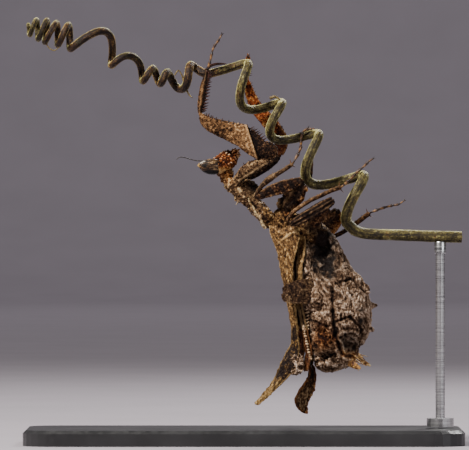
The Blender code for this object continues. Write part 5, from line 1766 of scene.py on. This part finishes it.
def build_crumb():
    crumb = skinned(lumps(WING_CRUMBS), voxel=0.08, soften=1)
    raised(crumb, lambda co: crumple(co, 0.8) + 0.6 * noise.fractal(co * 3.0, 0.8, 2.0, 3), strength=0.22)
    painted(crumb, "lift", lambda co: 0.25)
    bark = dry_skin("crumb_bark", BARK, 0.7, 500.0, 1700.0)
    finished("wing_crumb", crumb, [bark])


def build_dots():
    dots = []
    for index, spot in enumerate(spline(DOT_ROW, 7)):
        size = 0.20 + 0.08 * (index % 3)
        dots.append(bump(spot, (size, 0.3, size * 0.8), detail=2))
    for index in range(7):
        z = 22.0 + index * 0.65
        dots.append(thorn((12.4, -2.6, z), (11.7 - 0.3 * (index % 2), -2.9, z - 0.3), radius=0.2))
    cream = spine_horn("cream_dots", (0.20, 0.075, 0.020), (0.68, 0.54, 0.34))
    finished("wing_dots", gathered(dots), [cream])


# The stand, the floor and the light.


ROD_X = 37.5
# The rod's top sleeve, which holds the stem: z, radius.
SLEEVE = [(36.4, 1.02), (36.5, 1.12), (38.4, 1.12), (38.62, 1.02)]


def build_stand():
    for node, look in (("stand_base", painted_base()), ("stand_rod", turned_steel())):
        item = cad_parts[node]
        item.data.materials.clear()
        item.data.materials.append(look)
    sleeve = sweep([(ROD_X, 0.0, z, radius, radius) for z, radius in SLEEVE], 32, True, 0.02)
    finished("rod_sleeve", sleeve, [look], (), None, 35.0)


# The middle of the model, where three of the lights point, in metres.
MIDDLE = (0.0, 0.0, 0.045)
# The lights: name, place, aim, width, watts, colour. The last two light the floor and wall behind the model.
LIGHTS = [
    ("key_light", (-0.26, -0.24, 0.44), MIDDLE, 0.12, 6.5, (1.0, 0.96, 0.90)),
    ("side_light", (0.42, -0.30, 0.16), MIDDLE, 0.20, 0.7, (0.95, 0.97, 1.0)),
    ("rim_light", (0.20, 0.36, 0.34), MIDDLE, 0.14, 1.8, (1.0, 0.98, 0.96)),
    ("floor_light", (0.0, 0.9, 1.0), (0.0, 1.4, 0.0), 0.6, 2.6, (1.0, 0.97, 1.0)),
    ("wall_light", (0.0, 1.7, 1.1), (0.0, 2.7, 0.2), 0.6, 4.1, (1.0, 0.97, 1.0)),
]


def soft_light(name, place, aim, size, power, colour):
    lamp = bpy.data.lights.new(name, "AREA")
    lamp.shape = "DISK"
    lamp.size = size
    lamp.energy = power
    lamp.color = colour
    item = bpy.data.objects.new(name, lamp)
    item.location = place
    item.rotation_mode = "QUATERNION"
    item.rotation_quaternion = (Vector(aim) - Vector(place)).to_track_quat("-Z", "Y")
    bpy.context.scene.collection.objects.link(item)


def build_studio():
    bm = bmesh.new()
    reach, bend, wall = 2.2, 0.5, 1.5
    bmesh.ops.create_grid(bm, x_segments=2, y_segments=2, size=reach)
    back = [edge for edge in bm.edges if all(vert.co.y > reach * 0.99 for vert in edge.verts)]
    for step in range(1, 14):
        angle = math.radians(90.0 * min(step, 12) / 12)
        made = bmesh.ops.extrude_edge_only(bm, edges=back)["geom"]
        verts = {item for item in made if isinstance(item, bmesh.types.BMVert)}
        edges = [item for item in made if isinstance(item, bmesh.types.BMEdge)]
        back = [edge for edge in edges if verts.issuperset(edge.verts)]
        for vert in verts:
            vert.co.y = reach + bend * math.sin(angle)
            vert.co.z = bend * (1.0 - math.cos(angle)) + (wall if step > 12 else 0.0)
    for face in bm.faces:
        face.smooth = True
    mesh = bpy.data.meshes.new("floor")
    bm.to_mesh(mesh)
    bm.free()
    floor = bpy.data.objects.new("floor", mesh)
    bpy.context.scene.collection.objects.link(floor)
    look = Finish("floor_paper", 0.9)
    greys = ((0.35, 0.318, 0.353), (0.37, 0.335, 0.373))
    mesh.materials.append(look.done(look.tones(look.cloud(30.0, 2.0, 0.5), greys, (0.3, 0.7))))
    world = bpy.data.worlds.new("studio")
    world.use_nodes = True
    world.node_tree.nodes["Background"].inputs["Color"].default_value = (0.62, 0.60, 0.63, 1.0)
    world.node_tree.nodes["Background"].inputs["Strength"].default_value = 0.15
    bpy.context.scene.world = world
    for light in LIGHTS:
        soft_light(*light)


def build_camera():
    distance, frame_width = 1.2, 0.0896
    aim_x, aim_z = -0.0018, 0.0418
    camera = bpy.data.cameras.new("camera")
    camera.sensor_fit = "HORIZONTAL"
    camera.sensor_width = 36.0
    camera.lens = camera.sensor_width * distance / frame_width
    camera.clip_start, camera.clip_end = 0.01, 20.0
    item = bpy.data.objects.new("camera", camera)
    item.location = (aim_x, -distance, aim_z)
    item.rotation_euler = (math.radians(90.0), 0.0, 0.0)
    bpy.context.scene.collection.objects.link(item)
    bpy.context.scene.camera = item


random.seed(11)
noise.seed_set(23)
gold_skin = dry_skin("gold_skin", GOLD, 0.6, 380.0, 1500.0, 0.02)
brown_skin = dry_skin("trunk_brown", BROWN, 0.55, 420.0, 1600.0, 0.11)
belly_skin = dry_skin(
    "belly_bark", BARK, rough=0.66, coarse=420.0, grain=2500.0,
    base=0.12, spread=0.45, stretch=(1.3, 1.0, 0.65), turn=-30.0, ridge=0.46, pepper=0.72,
)
umber_skin = dry_skin("umber_skin", UMBER, 0.6, 400.0, 1600.0, 0.03)
build_tendril()
build_head()
build_trunk(gold_skin, brown_skin)
build_abdomen(belly_skin, umber_skin)
build_cerci()
build_legs()
build_wings(gold_skin, umber_skin)
build_stand()
build_studio()
build_camera()
